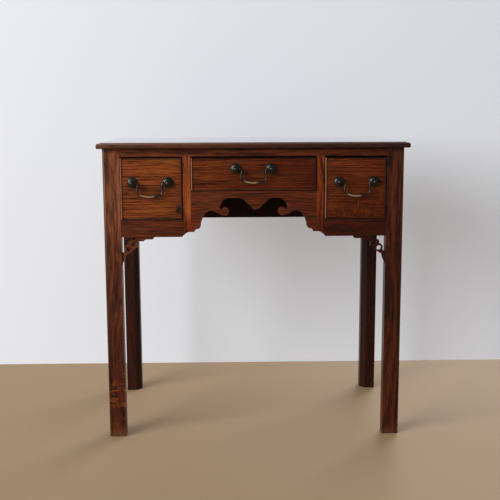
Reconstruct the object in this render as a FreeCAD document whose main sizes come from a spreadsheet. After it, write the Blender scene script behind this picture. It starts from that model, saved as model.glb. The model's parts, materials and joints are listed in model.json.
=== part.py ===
import FreeCAD, Part

import math
import os
import re

from FreeCAD import Rotation, Vector

# Lowboy: a small oak dressing table with three drawers across the frieze, a cut and scrolled
# apron over the knee space, square legs with chamfered inner corners and pierced corner brackets.
#
# X runs to the right, Y to the back and Z up.  Inside each object Y is counted from the front
# faces of the front legs; every object's Placement then moves it so that the origin lies on
# the floor under the middle of the whole piece, drawer handles included.

# ---------------------------------------------------------------------------------------------
# Driving dimensions, in millimetres
# ---------------------------------------------------------------------------------------------

SIZES = (
    ("case_width", 712.0, "across the outer faces of the legs"),
    ("case_depth", 403.0, "front faces of the front legs to back faces of the back legs"),
    ("overall_height", 720.0, "floor to upper face of the top"),
    ("top_thickness", 14.0, "thickness of the top board"),
    ("top_overhang_front", 14.0, "top beyond the front legs"),
    ("top_overhang_side", 12.3, "top beyond the outer faces of the legs"),
    ("top_overhang_back", 6.0, "top beyond the back legs"),
    ("top_step_width", 9.0, "width of the moulded margin of the top"),
    ("top_step_depth", 1.4, "sinking of the moulded margin"),
    ("top_nose_radius", 5.5, "upper round of the top's edge"),
    ("top_under_radius", 3.5, "lower round of the top's edge"),
    ("leg_section", 40.0, "side of the square leg"),
    ("leg_chamfer", 13.0, "chamfer on the leg's inner corner"),
    ("leg_corner_radius", 2.5, "round of the leg's outer corner"),
    ("quirk_inset", 5.6, "scratched quirk from the leg's outer corner"),
    ("quirk_width", 1.2, "width of the quirk"),
    ("quirk_depth", 0.9, "depth of the quirk"),
    ("joint_setback", 0.6, "rails and panels behind the faces of the legs"),
    ("front_thickness", 22.0, "thickness of bottom rails, dividers and apron"),
    ("top_rail_height", 19.0, "height of the rail over the drawers"),
    ("top_rail_depth", 45.0, "the same rail, front to back"),
    ("side_opening_height", 150.0, "height of the outer drawer openings"),
    ("centre_opening_height", 82.0, "height of the middle drawer opening"),
    ("centre_opening_width", 299.0, "width of the middle drawer opening"),
    ("divider_width", 18.5, "width of the uprights between the drawers"),
    ("bottom_rail_height", 40.8, "height of the rails under the outer drawers"),
    ("panel_thickness", 18.0, "thickness of the side panels"),
    ("back_thickness", 16.0, "thickness of the back panel"),
    ("back_setback", 3.0, "back panel inside the back faces of the legs"),
    ("tenon_thickness", 8.0, "thickness of every tenon"),
    ("panel_tenon_length", 22.0, "length of the side panels' tenons in the legs"),
    ("tenon_wall", 4.4, "wood between those and the tenons that enter a leg from inside"),
    ("stub_length", 8.0, "length of the tenons in the dividers"),
    ("tenon_shoulder", 12.0, "tenon ends inside the edges of rail or panel"),
    ("upper_shoulder", 6.0, "bottom rail's tenons below its upper edge"),
    ("stub_shoulder", 14.0, "bottom rail's inner tenon over its lower edge"),
    ("mortise_slack", 1.0, "a mortise in a leg is this much deeper than its tenon"),
    ("lap_thickness", 14.0, "thickness of the top rail's dovetail"),
    ("lap_root", 18.0, "width of that dovetail at its root"),
    ("lap_flare", 6.0, "how much wider it is at its end"),
    ("partition_setback", 1.5, "partition inside the faces of the divider"),
    ("partition_rise", 21.0, "partition's lower edge over the case's lower edge"),
    ("tongue_length", 5.0, "partition's tongue in the divider"),
    ("tongue_thickness", 6.0, "thickness of that tongue"),
    ("runner_width", 16.0, "bearing width of a drawer runner"),
    ("runner_height", 15.0, "height of a drawer runner"),
    ("guide_height", 12.0, "guide strip on the outer runners"),
    ("kicker_width", 40.0, "width of the kickers over the drawers"),
    ("stop_depth", 12.0, "drawer stops, front to back"),
    ("stop_height", 24.0, "height of the drawer stops"),
    ("block_size", 20.0, "section of the glue blocks under the top"),
    ("block_length", 60.0, "length of the glue blocks"),
    ("back_block_place", 90.0, "glue blocks at the back from the centre line"),
    ("peg_radius", 3.0, "radius of the oak pegs"),
    ("peg_length", 26.0, "length of the oak pegs"),
    ("peg_clearance", 0.05, "clearance of a peg in its hole"),
    ("panel_peg_low", 35.0, "side panel's lower pegs over the case's lower edge"),
    ("panel_peg_high", 45.0, "side panel's upper pegs below the top"),
    ("back_peg_low", 50.0, "back panel's lower pegs over the case's lower edge"),
    ("back_peg_high", 60.0, "back panel's upper pegs below the top"),
    ("pendant_offset", 5.1, "the hand-cut pendant hangs this far right of the centre line"),
    ("flank_bulge", 1.5, "bulge of the curve between an outer scroll and the steps"),
    ("bracket_thickness", 9.0, "thickness of the pierced brackets"),
    ("bracket_setback", 2.5, "brackets behind the front rails"),
    ("side_gap", 1.2, "drawer to each side of its opening"),
    ("top_gap", 2.2, "drawer front to the upper edge of its opening"),
    ("bottom_gap", 1.0, "drawer front to the lower edge of its opening"),
    ("running_gap", 0.3, "drawer sides over their runners, and drawer to its stops"),
    ("drawer_face_setback", 0.4, "drawer front behind the rails"),
    ("drawer_front_thickness", 20.0, "thickness of a drawer front"),
    ("drawer_side_thickness", 9.0, "thickness of a drawer side"),
    ("drawer_back_thickness", 10.0, "thickness of a drawer back"),
    ("drawer_bottom_thickness", 6.0, "thickness of a drawer bottom"),
    ("bottom_rise", 8.0, "drawer bottom over the lower edge of its sides"),
    ("groove_depth", 4.5, "depth of the grooves for the bottom"),
    ("groove_clearance", 0.2, "groove wider and deeper than the bottom by this"),
    ("side_drop", 5.0, "drawer sides below the top of the drawer front"),
    ("back_drop", 4.0, "drawer back below the top of the drawer sides"),
    ("tail_lap", 10.0, "length of the lapped dovetails at the front"),
    ("tail_root", 14.0, "height of a dovetail at its root"),
    ("tail_flare", 6.0, "how much higher it is at its end"),
    ("bead_width", 3.2, "visible width of the cock bead"),
    ("bead_depth", 8.0, "depth of the rebate that holds the cock bead"),
    ("bead_proud", 2.4, "cock bead in front of the drawer front"),
    ("side_handle_height", 89.0, "handle pivot over the lower edge of an outer opening"),
    ("centre_handle_height", 53.0, "handle pivot over the lower edge of the middle opening"),
    ("handle_lean", 0.165, "an outer handle sits outwards by this share of its room"),
    ("handle_centres", 84.0, "distance between the two posts of a handle"),
    ("pivot_reach", 12.0, "handle pivot in front of the drawer front"),
    ("rose_radius", 12.4, "radius of the round rose behind a post"),
    ("rose_rim", 1.2, "thickness of the rose at its rim"),
    ("rose_dome", 5.2, "rise of the rose's dome over the rim"),
    ("post_radius", 3.4, "radius of the post between rose and ball"),
    ("shank_radius", 2.4, "radius of the post inside the drawer front"),
    ("shank_clearance", 0.05, "radial clearance round the shank"),
    ("shank_end", 6.0, "shank beyond the back of the drawer front"),
    ("ball_radius", 6.0, "radius of the ball at the post's end"),
    ("nut_size", 10.0, "side of the square nut"),
    ("nut_thickness", 3.5, "thickness of the square nut"),
    ("bail_radius", 2.0, "radius of the bail's wire"),
    ("bail_half_width", 30.0, "half the distance between the bail's arms"),
    ("bail_knee", 26.0, "pivot down to the bail's lower corners"),
    ("bail_drop", 36.2, "pivot down to the point where the bottom's sides would meet"),
    ("bail_elbow_radius", 3.6, "bend between pin and arm"),
    ("bail_knee_radius", 9.0, "bend at the lower corners"),
    ("bail_bottom_radius", 62.0, "sweep of the bail's bottom"),
    ("pivot_clearance", 0.06, "radial clearance of the bail's pin in its ball"),
    ("pin_depth", 9.0, "depth of the hole for the bail's pin"),
    ("pin_end_gap", 0.4, "end of the pin to the bottom of its hole"),
    ("bore_mouth", 0.5, "a bore in a curved face starts this far outside it"),
)

# Places that follow from the driving dimensions.  Each may use the ones above it.
LAYOUT = (
    ("half_width", "case_width / 2"),
    ("leg_inner", "half_width - leg_section"),
    ("case_top", "overall_height - top_thickness"),
    ("opening_top", "case_top - top_rail_height"),
    ("side_opening_bottom", "opening_top - side_opening_height"),
    ("centre_opening_bottom", "opening_top - centre_opening_height"),
    ("case_bottom", "side_opening_bottom - bottom_rail_height"),
    ("front_back", "joint_setback + front_thickness"),
    ("tenon_front", "joint_setback + (front_thickness - tenon_thickness) / 2"),
    ("tenon_back", "tenon_front + tenon_thickness"),
    ("divider_inner", "centre_opening_width / 2"),
    ("divider_outer", "divider_inner + divider_width"),
    ("partition_inner", "divider_inner + partition_setback"),
    ("partition_outer", "divider_outer - partition_setback"),
    ("panel_outer", "half_width - joint_setback"),
    ("panel_inner", "panel_outer - panel_thickness"),
    ("panel_tenon_inner", "panel_inner + (panel_thickness - tenon_thickness) / 2"),
    ("panel_tenon_outer", "panel_tenon_inner + tenon_thickness"),
    ("inward_tenon", "panel_tenon_inner - leg_inner - tenon_wall"),
    ("back_leg_front", "case_depth - leg_section"),
    ("back_outer", "case_depth - back_setback"),
    ("back_inner", "back_outer - back_thickness"),
    ("back_tenon_front", "back_inner + (back_thickness - tenon_thickness) / 2"),
    ("back_tenon_back", "back_tenon_front + tenon_thickness"),
    ("top_rail_back", "joint_setback + top_rail_depth"),
    ("drawer_face", "joint_setback + drawer_face_setback"),
    ("drawer_front_back", "drawer_face + drawer_front_thickness"),
    ("drawer_end", "back_inner - stop_depth - running_gap"),
    ("pivot_y", "drawer_face - pivot_reach"),
    ("outer_drawer_half", "(leg_inner - divider_outer) / 2 - side_gap"),
    ("handle_room", "outer_drawer_half - bead_width - handle_centres / 2 - rose_radius"),
    ("handle_outset", "handle_lean * handle_room"),
    ("dome_radius", "((rose_radius - rose_rim / 2) ^ 2 + rose_dome ^ 2) / (2 * rose_dome)"),
    ("front_reach", "max(top_overhang_front; ball_radius - pivot_y)"),
    ("plan_centre", "(case_depth + top_overhang_back - front_reach) / 2"),
)

# The apron's lower edge, one half.  The pendant is placed outwards from its own middle and down
# from the middle drawer's opening, the scroll inwards from the divider and down from the same
# opening, and the steps outwards from the divider's inner face and up from the case's lower edge.
# The first pair of an outline is its start.  Each later entry is one stretch, (middle, end): an
# arc through middle, or a straight stretch where middle is None.
PENDANT_TIP = (0.0, 44.2)
PENDANT = (
    ((4.4, 43.3), (8.2, 40.8)),
    (None, (27.4, 21.6)),
    ((33.6, 17.5), (40.9, 16.0)),
)
SCROLL = (
    (None, (91.0, 16.0)),
    ((77.0, 22.4), (69.6, 36.0)),
    ((69.8, 41.0), (72.8, 42.8)),
    ((75.2, 42.0), (76.6, 39.8)),
    ((91.0, 48.4), (77.2, 57.4)),
    ((67.0, 53.8), (60.0, 49.6)),
    ((48.6, 46.4), (37.6, 50.0)),
    ((33.8, 53.2), (31.0, 58.2)),
)
STEPS_START = (-22.6, 26.2)
STEPS = (
    ((-20.8, 21.6), (-16.8, 19.2)),
    ((-10.6, 17.0), (-7.6, 11.8)),
    (None, (6.4, 11.8)),
    ((14.6, 7.0), (21.6, 0.0)),
)

# The pierced bracket, from the leg's inner face inwards and from the case's lower edge down.
BRACKET_START = (78.0, 0.0)
BRACKET = (
    ((76.4, 4.6), (71.0, 6.4)),
    (None, (59.0, 6.4)),
    ((55.8, 7.8), (53.0, 10.5)),
    (None, (42.0, 10.5)),
    ((37.6, 13.0), (36.6, 18.0)),
    ((37.2, 23.2), (34.0, 27.4)),
    ((21.0, 37.6), (9.8, 43.6)),
    ((6.0, 56.0), (0.0, 69.0)),
    (None, (0.0, 37.6)),
    ((4.4, 35.8), (6.0, 31.0)),
    ((8.8, 20.8), (15.8, 18.0)),
    ((14.4, 12.4), (19.6, 8.6)),
    (None, (30.6, 7.0)),
    ((32.8, 4.6), (33.2, 0.0)),
)
BRACKET_HOLES = ((27.0, 16.4, 4.5), (15.4, 29.4, 5.4))   # inwards, down and radius of each

SIDES = (("left", -1), ("right", 1))
TOLERANCE = 0.01   # two coordinates nearer than this are the same
TO_RIGHT = Rotation(Vector(0, 1, 0), Vector(1, 0, 0), Vector(0, 0, -1), "XYZ")
TO_LEFT = Rotation(Vector(0, 1, 0), Vector(-1, 0, 0), Vector(0, 0, 1), "XYZ")
TO_FRONT = Rotation(Vector(0, 0, 1), Vector(0, -1, 0), Vector(1, 0, 0), "XYZ")
TO_BACK = Rotation(Vector(0, 0, 1), Vector(0, 1, 0), Vector(-1, 0, 0), "XYZ")
ALONG_X = Rotation(Vector(0, 1, 0), 90)
ALONG_MINUS_X = Rotation(Vector(0, 1, 0), -90)
ALONG_Y = Rotation(Vector(1, 0, 0), -90)
ALONG_MINUS_Y = Rotation(Vector(1, 0, 0), 90)

# ---------------------------------------------------------------------------------------------
# The document, its sheet and its layout
# ---------------------------------------------------------------------------------------------

doc = FreeCAD.newDocument("Lowboy")
OWNER = {}
PARTS = []
SCRATCH = "Scratch"   # a property that holds one formula at a time, for value() to read


def named(text):
    """The same formula with each size and place written with the object that owns it."""
    return re.sub(r"[a-z][a-z_]*", lambda word: OWNER.get(word.group(), "") + word.group(), text)


def make_sheet():
    """Write the driving dimensions into the sheet, each cell with its alias."""
    sheet = doc.addObject("Spreadsheet::Sheet", "Sizes")
    for row, (alias, value, note) in enumerate(SIZES, start=1):
        sheet.set("A%d" % row, alias)
        sheet.set("B%d" % row, str(value))
        sheet.setAlias("B%d" % row, alias)
        sheet.set("C%d" % row, note)
        OWNER[alias] = "Sizes."
    doc.recompute()
    return sheet


def make_layout():
    """Places worked out from the sheet, each one a bound property."""
    layout = doc.addObject("App::VarSet", "Layout")
    for place, formula in LAYOUT:
        layout.addProperty("App::PropertyFloat", place)
        layout.setExpression(place, named(formula))
        OWNER[place] = "Layout."
    layout.addProperty("App::PropertyFloat", SCRATCH)
    doc.recompute()
    return layout


SHEET = make_sheet()
PLACES = make_layout()


def size(name):
    """The present value of a size or a place."""
    if OWNER[name] == "Sizes.":
        return float(SHEET.get(name))
    return float(getattr(PLACES, name))


# ---------------------------------------------------------------------------------------------
# Helpers
# ---------------------------------------------------------------------------------------------

def keep(thing, label):
    """Name a finished sub-part and move it to the row's own frame."""
    thing.Label = label
    thing.setExpression("Placement.Base.y", named("-plan_centre"))
    PARTS.append(thing)
    return thing


def across(side, near, far):
    """Low and high X of something that lies between near and far on one side."""
    if side > 0:
        return near, far
    return "-(%s)" % far, "-(%s)" % near


def block(body, kind, name, x, y, z):
    """Add or cut a rectangular block; x, y and z are pairs of formulas, low and high."""
    box = body.newObject("PartDesign::%sBox" % kind, name)
    for axis, length, (low, high) in (("x", "Length", x), ("y", "Width", y), ("z", "Height", z)):
        box.setExpression("Placement.Base.%s" % axis, named(low))
        box.setExpression(length, named("(%s) - (%s)" % (high, low)))
    return box


def board(name, x, y, z):
    """A body that starts as one rectangular board."""
    body = doc.addObject("PartDesign::Body", name)
    block(body, "Additive", "Board", x, y, z)
    return body


def place(feature, centre, rotation):
    """Turn a feature and bind its place to three formulas."""
    feature.Placement = FreeCAD.Placement(Vector(), rotation)
    for axis, formula in zip("xyz", centre):
        feature.setExpression("Placement.Base.%s" % axis, named(formula))
    return feature


def dovetail(body, kind, centre, rotation, sizes):
    """A tail that grows from its root along the turned Y axis; sizes are formulas."""
    length, root, end, thickness = sizes
    tail = body.newObject("PartDesign::%sWedge" % kind, "Tail")
    place(tail, centre, rotation)
    tail.Ymin = 0
    tail.setExpression("Ymax", named(length))
    for low, high, breadth in (("Xmin", "Xmax", root), ("X2min", "X2max", end),
                               ("Zmin", "Zmax", thickness), ("Z2min", "Z2max", thickness)):
        tail.setExpression(low, named("-(%s) / 2" % breadth))
        tail.setExpression(high, named("(%s) / 2" % breadth))
    return tail


def bore(body, centre, rotation, radius, length):
    """Cut a round hole from centre along the turned Z axis."""
    hole = body.newObject("PartDesign::SubtractiveCylinder", "Hole")
    place(hole, centre, rotation)
    hole.setExpression("Radius", named(radius))
    hole.setExpression("Height", named(length))
    return hole


def edges_where(feature, test):
    """Names of the feature's straight edges whose two ends pass the test."""
    found = []
    for number, edge in enumerate(feature.Shape.Edges, start=1):
        ends = [vertex.Point for vertex in edge.Vertexes]
        if len(ends) == 2 and test(ends[0], ends[1]):
            found.append("Edge%d" % number)
    return found


def dress(body, kind, prop, amount, test):
    """Fillet or chamfer the edges of the body's last feature that pass the test."""
    doc.recompute([body])
    base = body.Tip
    dressed = body.newObject("PartDesign::%s" % kind, kind)
    dressed.Base = (base, edges_where(base, test))
    dressed.setExpression(prop, named(amount))
    return dressed


def near(a, b):
    """True where two coordinates are the same."""
    return abs(a - b) < TOLERANCE


def outline(stretches, start, to_point):
    """Edges of a path of straight stretches and arcs, from a table of this file."""
    edges = []
    here = start
    for middle, end in stretches:
        there = to_point(end)
        if middle is None:
            edges.append(Part.makeLine(here, there))
        else:
            edges.append(Part.Arc(here, to_point(middle), there).toShape())
        here = there
    return edges, here


def through_cut():
    """A depth that reaches through any front board from well before it."""
    return 3 * size("front_thickness")


def rounded_path(points, radii):
    """A wire of straight runs joined by tangent arcs, one radius for each inner point."""
    edges = []
    here = points[0]
    for before, corner, after, radius in zip(points, points[1:], points[2:], radii):
        back = (before - corner).normalize()
        ahead = (after - corner).normalize()
        half_turn = (math.pi - back.getAngle(ahead)) / 2
        reach = radius * math.tan(half_turn)
        arc_start = corner + back * reach
        arc_end = corner + ahead * reach
        inward = (back + ahead).normalize()
        arc_middle = corner + inward * (radius / math.cos(half_turn) - radius)
        edges.append(Part.makeLine(here, arc_start))
        edges.append(Part.Arc(arc_start, arc_middle, arc_end).toShape())
        here = arc_end
    edges.append(Part.makeLine(here, points[-1]))
    return Part.Wire(edges)


def feature(name, shape):
    """A plain document object that holds a shape made by this file."""
    made = doc.addObject("Part::Feature", name)
    made.Shape = shape
    return made


def group(name, members):
    """One node that holds several separate solids."""
    made = doc.addObject("Part::Compound", name)
    made.Links = members
    return made


# ---------------------------------------------------------------------------------------------
# Pegs: one table of places serves the pegs, their holes in the legs and in the tenons
# ---------------------------------------------------------------------------------------------

def panel_pegs(side, end):
    """Pegs through a side panel's tenon, driven in from the leg's outer face."""
    middle = "leg_section - panel_tenon_length / 2"
    if end == "back":
        middle = "back_leg_front + panel_tenon_length / 2"
    x = "%d * half_width" % side
    turn = ALONG_MINUS_X if side > 0 else ALONG_X
    levels = ("case_bottom + panel_peg_low", "case_top - panel_peg_high")
    return [((x, middle, level), turn) for level in levels]


def back_pegs(side):
    """Pegs through the back panel's tenon, driven in from behind."""
    x = "%d * (leg_inner + inward_tenon / 2)" % side
    levels = ("case_bottom + back_peg_low", "case_top - back_peg_high")
    return [((x, "case_depth", level), ALONG_MINUS_Y) for level in levels]


def bore_for_pegs(body, pegs):
    """Cut the holes for a list of pegs."""
    for centre, turn in pegs:
        bore(body, centre, turn, "peg_radius + peg_clearance", "peg_length + peg_clearance")


def make_pegs():
    """Every oak peg of the case, as one node of separate pegs."""
    places = []
    for _, side in SIDES:
        places += panel_pegs(side, "front") + panel_pegs(side, "back") + back_pegs(side)
    pegs = []
    for centre, turn in places:
        peg = place(doc.addObject("Part::Cylinder", "Peg"), centre, turn)
        peg.setExpression("Radius", named("peg_radius"))
        peg.setExpression("Height", named("peg_length"))
        pegs.append(peg)
    return keep(group("JointPegs", pegs), "joint_pegs")


# ---------------------------------------------------------------------------------------------
# The case
# ---------------------------------------------------------------------------------------------

def make_top():
    """The top board: a sunk margin and a rounded nose at the front and both ends."""
    half = "half_width + top_overhang_side"
    front = "-top_overhang_front"
    back = "case_depth + top_overhang_back"
    body = board("TopBoard", ("-(%s)" % half, half), (front, back), ("case_top", "overall_height"))
    margin = ("overall_height - top_step_depth", "overall_height")
    for _, side in SIDES:
        block(body, "Subtractive", "Margin", across(side, "%s - top_step_width" % half, half),
              (front, back), margin)
    block(body, "Subtractive", "Margin", ("-(%s)" % half, half),
          (front, "%s + top_step_width" % front), margin)
    outer_x = size("half_width") + size("top_overhang_side")
    outer_y = -size("top_overhang_front")

    def on_rim(a, b, level):
        """True for an edge at this level along the front or one end."""
        at_end = near(abs(a.x), outer_x) and near(a.x, b.x)
        at_front = near(a.y, outer_y) and near(b.y, outer_y)
        return near(a.z, level) and near(b.z, level) and (at_end or at_front)

    upper = size("overall_height") - size("top_step_depth")
    dress(body, "Fillet", "Radius", "top_nose_radius", lambda a, b: on_rim(a, b, upper))
    lower = size("case_top")
    dress(body, "Fillet", "Radius", "top_under_radius", lambda a, b: on_rim(a, b, lower))
    return keep(body, "top_board")


def leg_blank(name, side, front, back):
    """A square leg between two Y places, with its mortise for the side panel still to cut."""
    return board(name, across(side, "leg_inner", "half_width"), (front, back), ("0", "case_top"))


def finish_leg(body, side, outer_y, inner_y, quirks):
    """Chamfer the inner corner; on a front leg scratch a bead down the outer corner."""
    outer_x = side * size("half_width")
    inner_x = side * size("leg_inner")

    def upright_at(x, y):
        return lambda a, b: (near(a.x, x) and near(b.x, x) and near(a.y, y) and near(b.y, y)
                             and not near(a.z, b.z))

    dress(body, "Chamfer", "Size", "leg_chamfer", upright_at(inner_x, inner_y))
    dress(body, "Fillet", "Radius", "leg_corner_radius", upright_at(outer_x, outer_y))
    if quirks:
        full = ("0", "case_top")
        block(body, "Subtractive", "Quirk",
              across(side, "half_width - quirk_inset - quirk_width", "half_width - quirk_inset"),
              ("0", "quirk_depth"), full)
        block(body, "Subtractive", "Quirk", across(side, "half_width - quirk_depth", "half_width"),
              ("quirk_inset", "quirk_inset + quirk_width"), full)


def cut_panel_mortise(body, side, y):
    """The mortise for a side panel's tenon."""
    block(body, "Subtractive", "PanelMortise",
          across(side, "panel_tenon_inner", "panel_tenon_outer"), y,
          ("case_bottom + tenon_shoulder", "case_top - tenon_shoulder"))


def top_rail_tail(body, kind, side):
    """The flat dovetail that ties the top rail into the top of a front leg."""
    centre = ("%d * leg_inner" % side, "leg_section / 2", "case_top - lap_thickness / 2")
    dovetail(body, kind, centre, TO_RIGHT if side > 0 else TO_LEFT,
             ("inward_tenon", "lap_root", "lap_root + lap_flare", "lap_thickness"))


def make_front_leg(word, side):
    """A front leg: mortises for side panel and bottom rail, and a socket for the top rail."""
    body = leg_blank("FrontLeg", side, "0", "leg_section")
    finish_leg(body, side, 0.0, size("leg_section"), True)
    cut_panel_mortise(body, side,
                      ("leg_section - panel_tenon_length - mortise_slack", "leg_section"))
    block(body, "Subtractive", "RailMortise",
          across(side, "leg_inner", "leg_inner + inward_tenon + mortise_slack"),
          ("tenon_front", "tenon_back"),
          ("case_bottom + tenon_shoulder", "side_opening_bottom - upper_shoulder"))
    top_rail_tail(body, "Subtractive", side)
    bore_for_pegs(body, panel_pegs(side, "front"))
    return keep(body, "leg_front_" + word)


def make_back_leg(word, side):
    """A back leg: mortises for the side panel and the back panel."""
    body = leg_blank("BackLeg", side, "back_leg_front", "case_depth")
    finish_leg(body, side, size("case_depth"), size("back_leg_front"), False)
    cut_panel_mortise(body, side,
                      ("back_leg_front", "back_leg_front + panel_tenon_length + mortise_slack"))
    block(body, "Subtractive", "BackMortise",
          across(side, "leg_inner", "leg_inner + inward_tenon + mortise_slack"),
          ("back_tenon_front", "back_tenon_back"),
          ("case_bottom + tenon_shoulder", "case_top - tenon_shoulder"))
    bore_for_pegs(body, panel_pegs(side, "back") + back_pegs(side))
    return keep(body, "leg_back_" + word)


def make_side_panel(word, side):
    """A side of the case: one wide board tenoned into the front and back legs."""
    body = board("SidePanel", across(side, "panel_inner", "panel_outer"),
                 ("leg_section", "back_leg_front"), ("case_bottom", "case_top"))
    block(body, "Additive", "Tenons", across(side, "panel_tenon_inner", "panel_tenon_outer"),
          ("leg_section - panel_tenon_length", "back_leg_front + panel_tenon_length"),
          ("case_bottom + tenon_shoulder", "case_top - tenon_shoulder"))
    bore_for_pegs(body, panel_pegs(side, "front") + panel_pegs(side, "back"))
    return keep(body, "side_panel_" + word)


def make_back_panel():
    """The back of the case, tenoned into the back legs."""
    body = board("BackPanel", ("-leg_inner", "leg_inner"), ("back_inner", "back_outer"),
                 ("case_bottom", "case_top"))
    block(body, "Additive", "Tenons", ("-(leg_inner + inward_tenon)", "leg_inner + inward_tenon"),
          ("back_tenon_front", "back_tenon_back"),
          ("case_bottom + tenon_shoulder", "case_top - tenon_shoulder"))
    bore_for_pegs(body, back_pegs(-1) + back_pegs(1))
    return keep(body, "back_panel")


def divider_tenon(body, kind, side):
    """The tenon at the top of a divider, or its mortise in the top rail."""
    shoulder = "(divider_width - tenon_thickness) / 2"
    block(body, kind, "DividerTenon",
          across(side, "divider_inner + %s" % shoulder, "divider_outer - %s" % shoulder),
          ("tenon_front", "tenon_back"), ("opening_top", "opening_top + tenon_shoulder"))


def make_top_rail():
    """The thin rail over the drawers, laid flat and dovetailed into the front legs."""
    body = board("TopRail", ("-leg_inner", "leg_inner"), ("joint_setback", "top_rail_back"),
                 ("opening_top", "case_top"))
    for _, side in SIDES:
        top_rail_tail(body, "Additive", side)
        divider_tenon(body, "Subtractive", side)
    return keep(body, "top_rail")


def bulged(start, end, side):
    """The shallow curve between two points of the apron's edge, hollow towards the middle."""
    chord = end - start
    outwards = Vector(-chord.z, 0, chord.x).normalize() * size("flank_bulge")
    if outwards.x * side < 0:
        outwards = -outwards
    return Part.Arc(start, (start + end) / 2 + outwards, end).toShape()


def half_arch(side):
    """One half of the apron's lower edge, from the pendant's tip to below the bottom rail."""
    reach = size("divider_inner")
    drop = size("centre_opening_bottom")
    base = size("case_bottom")
    front = -size("front_thickness")

    def pendant_point(pair):
        return Vector(size("pendant_offset") + side * pair[0], front, drop - pair[1])

    def scroll_point(pair):
        return Vector(side * (reach - pair[0]), front, drop - pair[1])

    def step_point(pair):
        return Vector(side * (reach + pair[0]), front, base + pair[1])

    pendant, here = outline(PENDANT, pendant_point(PENDANT_TIP), pendant_point)
    scroll, here = outline(SCROLL, here, scroll_point)
    flank = bulged(here, step_point(STEPS_START), side)
    steps, here = outline(STEPS, step_point(STEPS_START), step_point)
    below = Vector(here.x, here.y, base - size("bottom_rail_height"))
    return pendant + scroll + [flank] + steps + [Part.makeLine(here, below)], below


def arch_cutter(name):
    """The space under the apron as one solid, from the bottom rails to the pendant."""
    left_edges, left_end = half_arch(-1)
    right_edges, right_end = half_arch(1)
    floor = Part.makeLine(left_end, right_end)
    wire = Part.Wire(Part.__sortEdges__(left_edges + right_edges + [floor]))
    return feature(name, Part.Face(wire).extrude(Vector(0, through_cut(), 0)))


def shaped(body, cutter, label):
    """A body with the space under the apron cut out of it."""
    cut = doc.addObject("Part::Cut", "Shaped")
    cut.Base = body
    cut.Tool = cutter
    return keep(cut, label)


def rail_stub(body, kind, side):
    """The stub tenon of a bottom rail in a divider, or its mortise."""
    block(body, kind, "RailStub", across(side, "divider_outer - stub_length", "divider_outer"),
          ("tenon_front", "tenon_back"),
          ("case_bottom + stub_shoulder", "side_opening_bottom - upper_shoulder"))


def apron_stub(body, kind, side):
    """The stub tenon of the apron in a divider, or its mortise."""
    block(body, kind, "ApronStub", across(side, "divider_inner", "divider_inner + stub_length"),
          ("tenon_front", "tenon_back"),
          ("side_opening_bottom", "centre_opening_bottom - tenon_shoulder"))


def make_bottom_rail(word, side, cutter):
    """The rail under an outer drawer, from the leg to the divider."""
    body = board("BottomRail", across(side, "divider_outer", "leg_inner"),
                 ("joint_setback", "front_back"), ("case_bottom", "side_opening_bottom"))
    block(body, "Additive", "LegTenon", across(side, "leg_inner", "leg_inner + inward_tenon"),
          ("tenon_front", "tenon_back"),
          ("case_bottom + tenon_shoulder", "side_opening_bottom - upper_shoulder"))
    rail_stub(body, "Additive", side)
    return shaped(body, cutter, "bottom_rail_" + word)


def make_divider(word, side, cutter):
    """The upright between an outer drawer and the middle one."""
    body = board("Divider", across(side, "divider_inner", "divider_outer"),
                 ("joint_setback", "front_back"), ("case_bottom", "opening_top"))
    divider_tenon(body, "Additive", side)
    rail_stub(body, "Subtractive", side)
    apron_stub(body, "Subtractive", side)
    partition_tongue(body, "Subtractive", side)
    return shaped(body, cutter, "divider_" + word)


def make_apron(cutter):
    """The scrolled board under the middle drawer."""
    body = board("Apron", ("-divider_inner", "divider_inner"), ("joint_setback", "front_back"),
                 ("case_bottom", "centre_opening_bottom"))
    for _, side in SIDES:
        apron_stub(body, "Additive", side)
    return shaped(body, cutter, "apron")


def partition_tongue(body, kind, side):
    """The partition's tongue in the back of a divider, or its groove."""
    shoulder = "(divider_width - tongue_thickness) / 2"
    block(body, kind, "Tongue",
          across(side, "divider_inner + %s" % shoulder, "divider_outer - %s" % shoulder),
          ("front_back - tongue_length", "front_back"),
          ("case_bottom + partition_rise", "opening_top"))


def make_partition(word, side):
    """The upright board behind a divider that parts two drawers and carries their runners."""
    body = board("Partition", across(side, "partition_inner", "partition_outer"),
                 ("front_back", "back_inner"), ("case_bottom + partition_rise", "opening_top"))
    block(body, "Additive", "UpperPart", across(side, "partition_inner", "partition_outer"),
          ("top_rail_back", "back_inner"), ("opening_top", "case_top"))
    partition_tongue(body, "Additive", side)
    return keep(body, "partition_" + word)


def make_outer_runner(word, side):
    """Runner and guide of an outer drawer, along the side panel and between the legs."""
    under = ("side_opening_bottom - runner_height", "side_opening_bottom")
    body = board("OuterRunner", across(side, "leg_inner - runner_width", "leg_inner"),
                 ("front_back", "back_inner"), under)
    block(body, "Additive", "Backing", across(side, "leg_inner", "panel_inner"),
          ("leg_section", "back_leg_front"), under)
    block(body, "Additive", "Guide", across(side, "leg_inner", "panel_inner"),
          ("leg_section", "back_leg_front"),
          ("side_opening_bottom", "side_opening_bottom + guide_height"))
    return keep(body, "runner_%s_outer" % word)


def make_inner_runner(word, side):
    """Runner of an outer drawer on the partition."""
    body = board("InnerRunner",
                 across(side, "partition_outer", "partition_outer + runner_width"),
                 ("front_back", "back_inner"),
                 ("side_opening_bottom - runner_height", "side_opening_bottom"))
    return keep(body, "runner_%s_inner" % word)


def make_centre_runner(word, side):
    """Runner of the middle drawer on the partition."""
    body = board("CentreRunner",
                 across(side, "partition_inner - runner_width", "partition_inner"),
                 ("front_back", "back_inner"),
                 ("centre_opening_bottom - runner_height", "centre_opening_bottom"))
    return keep(body, "runner_centre_" + word)


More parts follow.
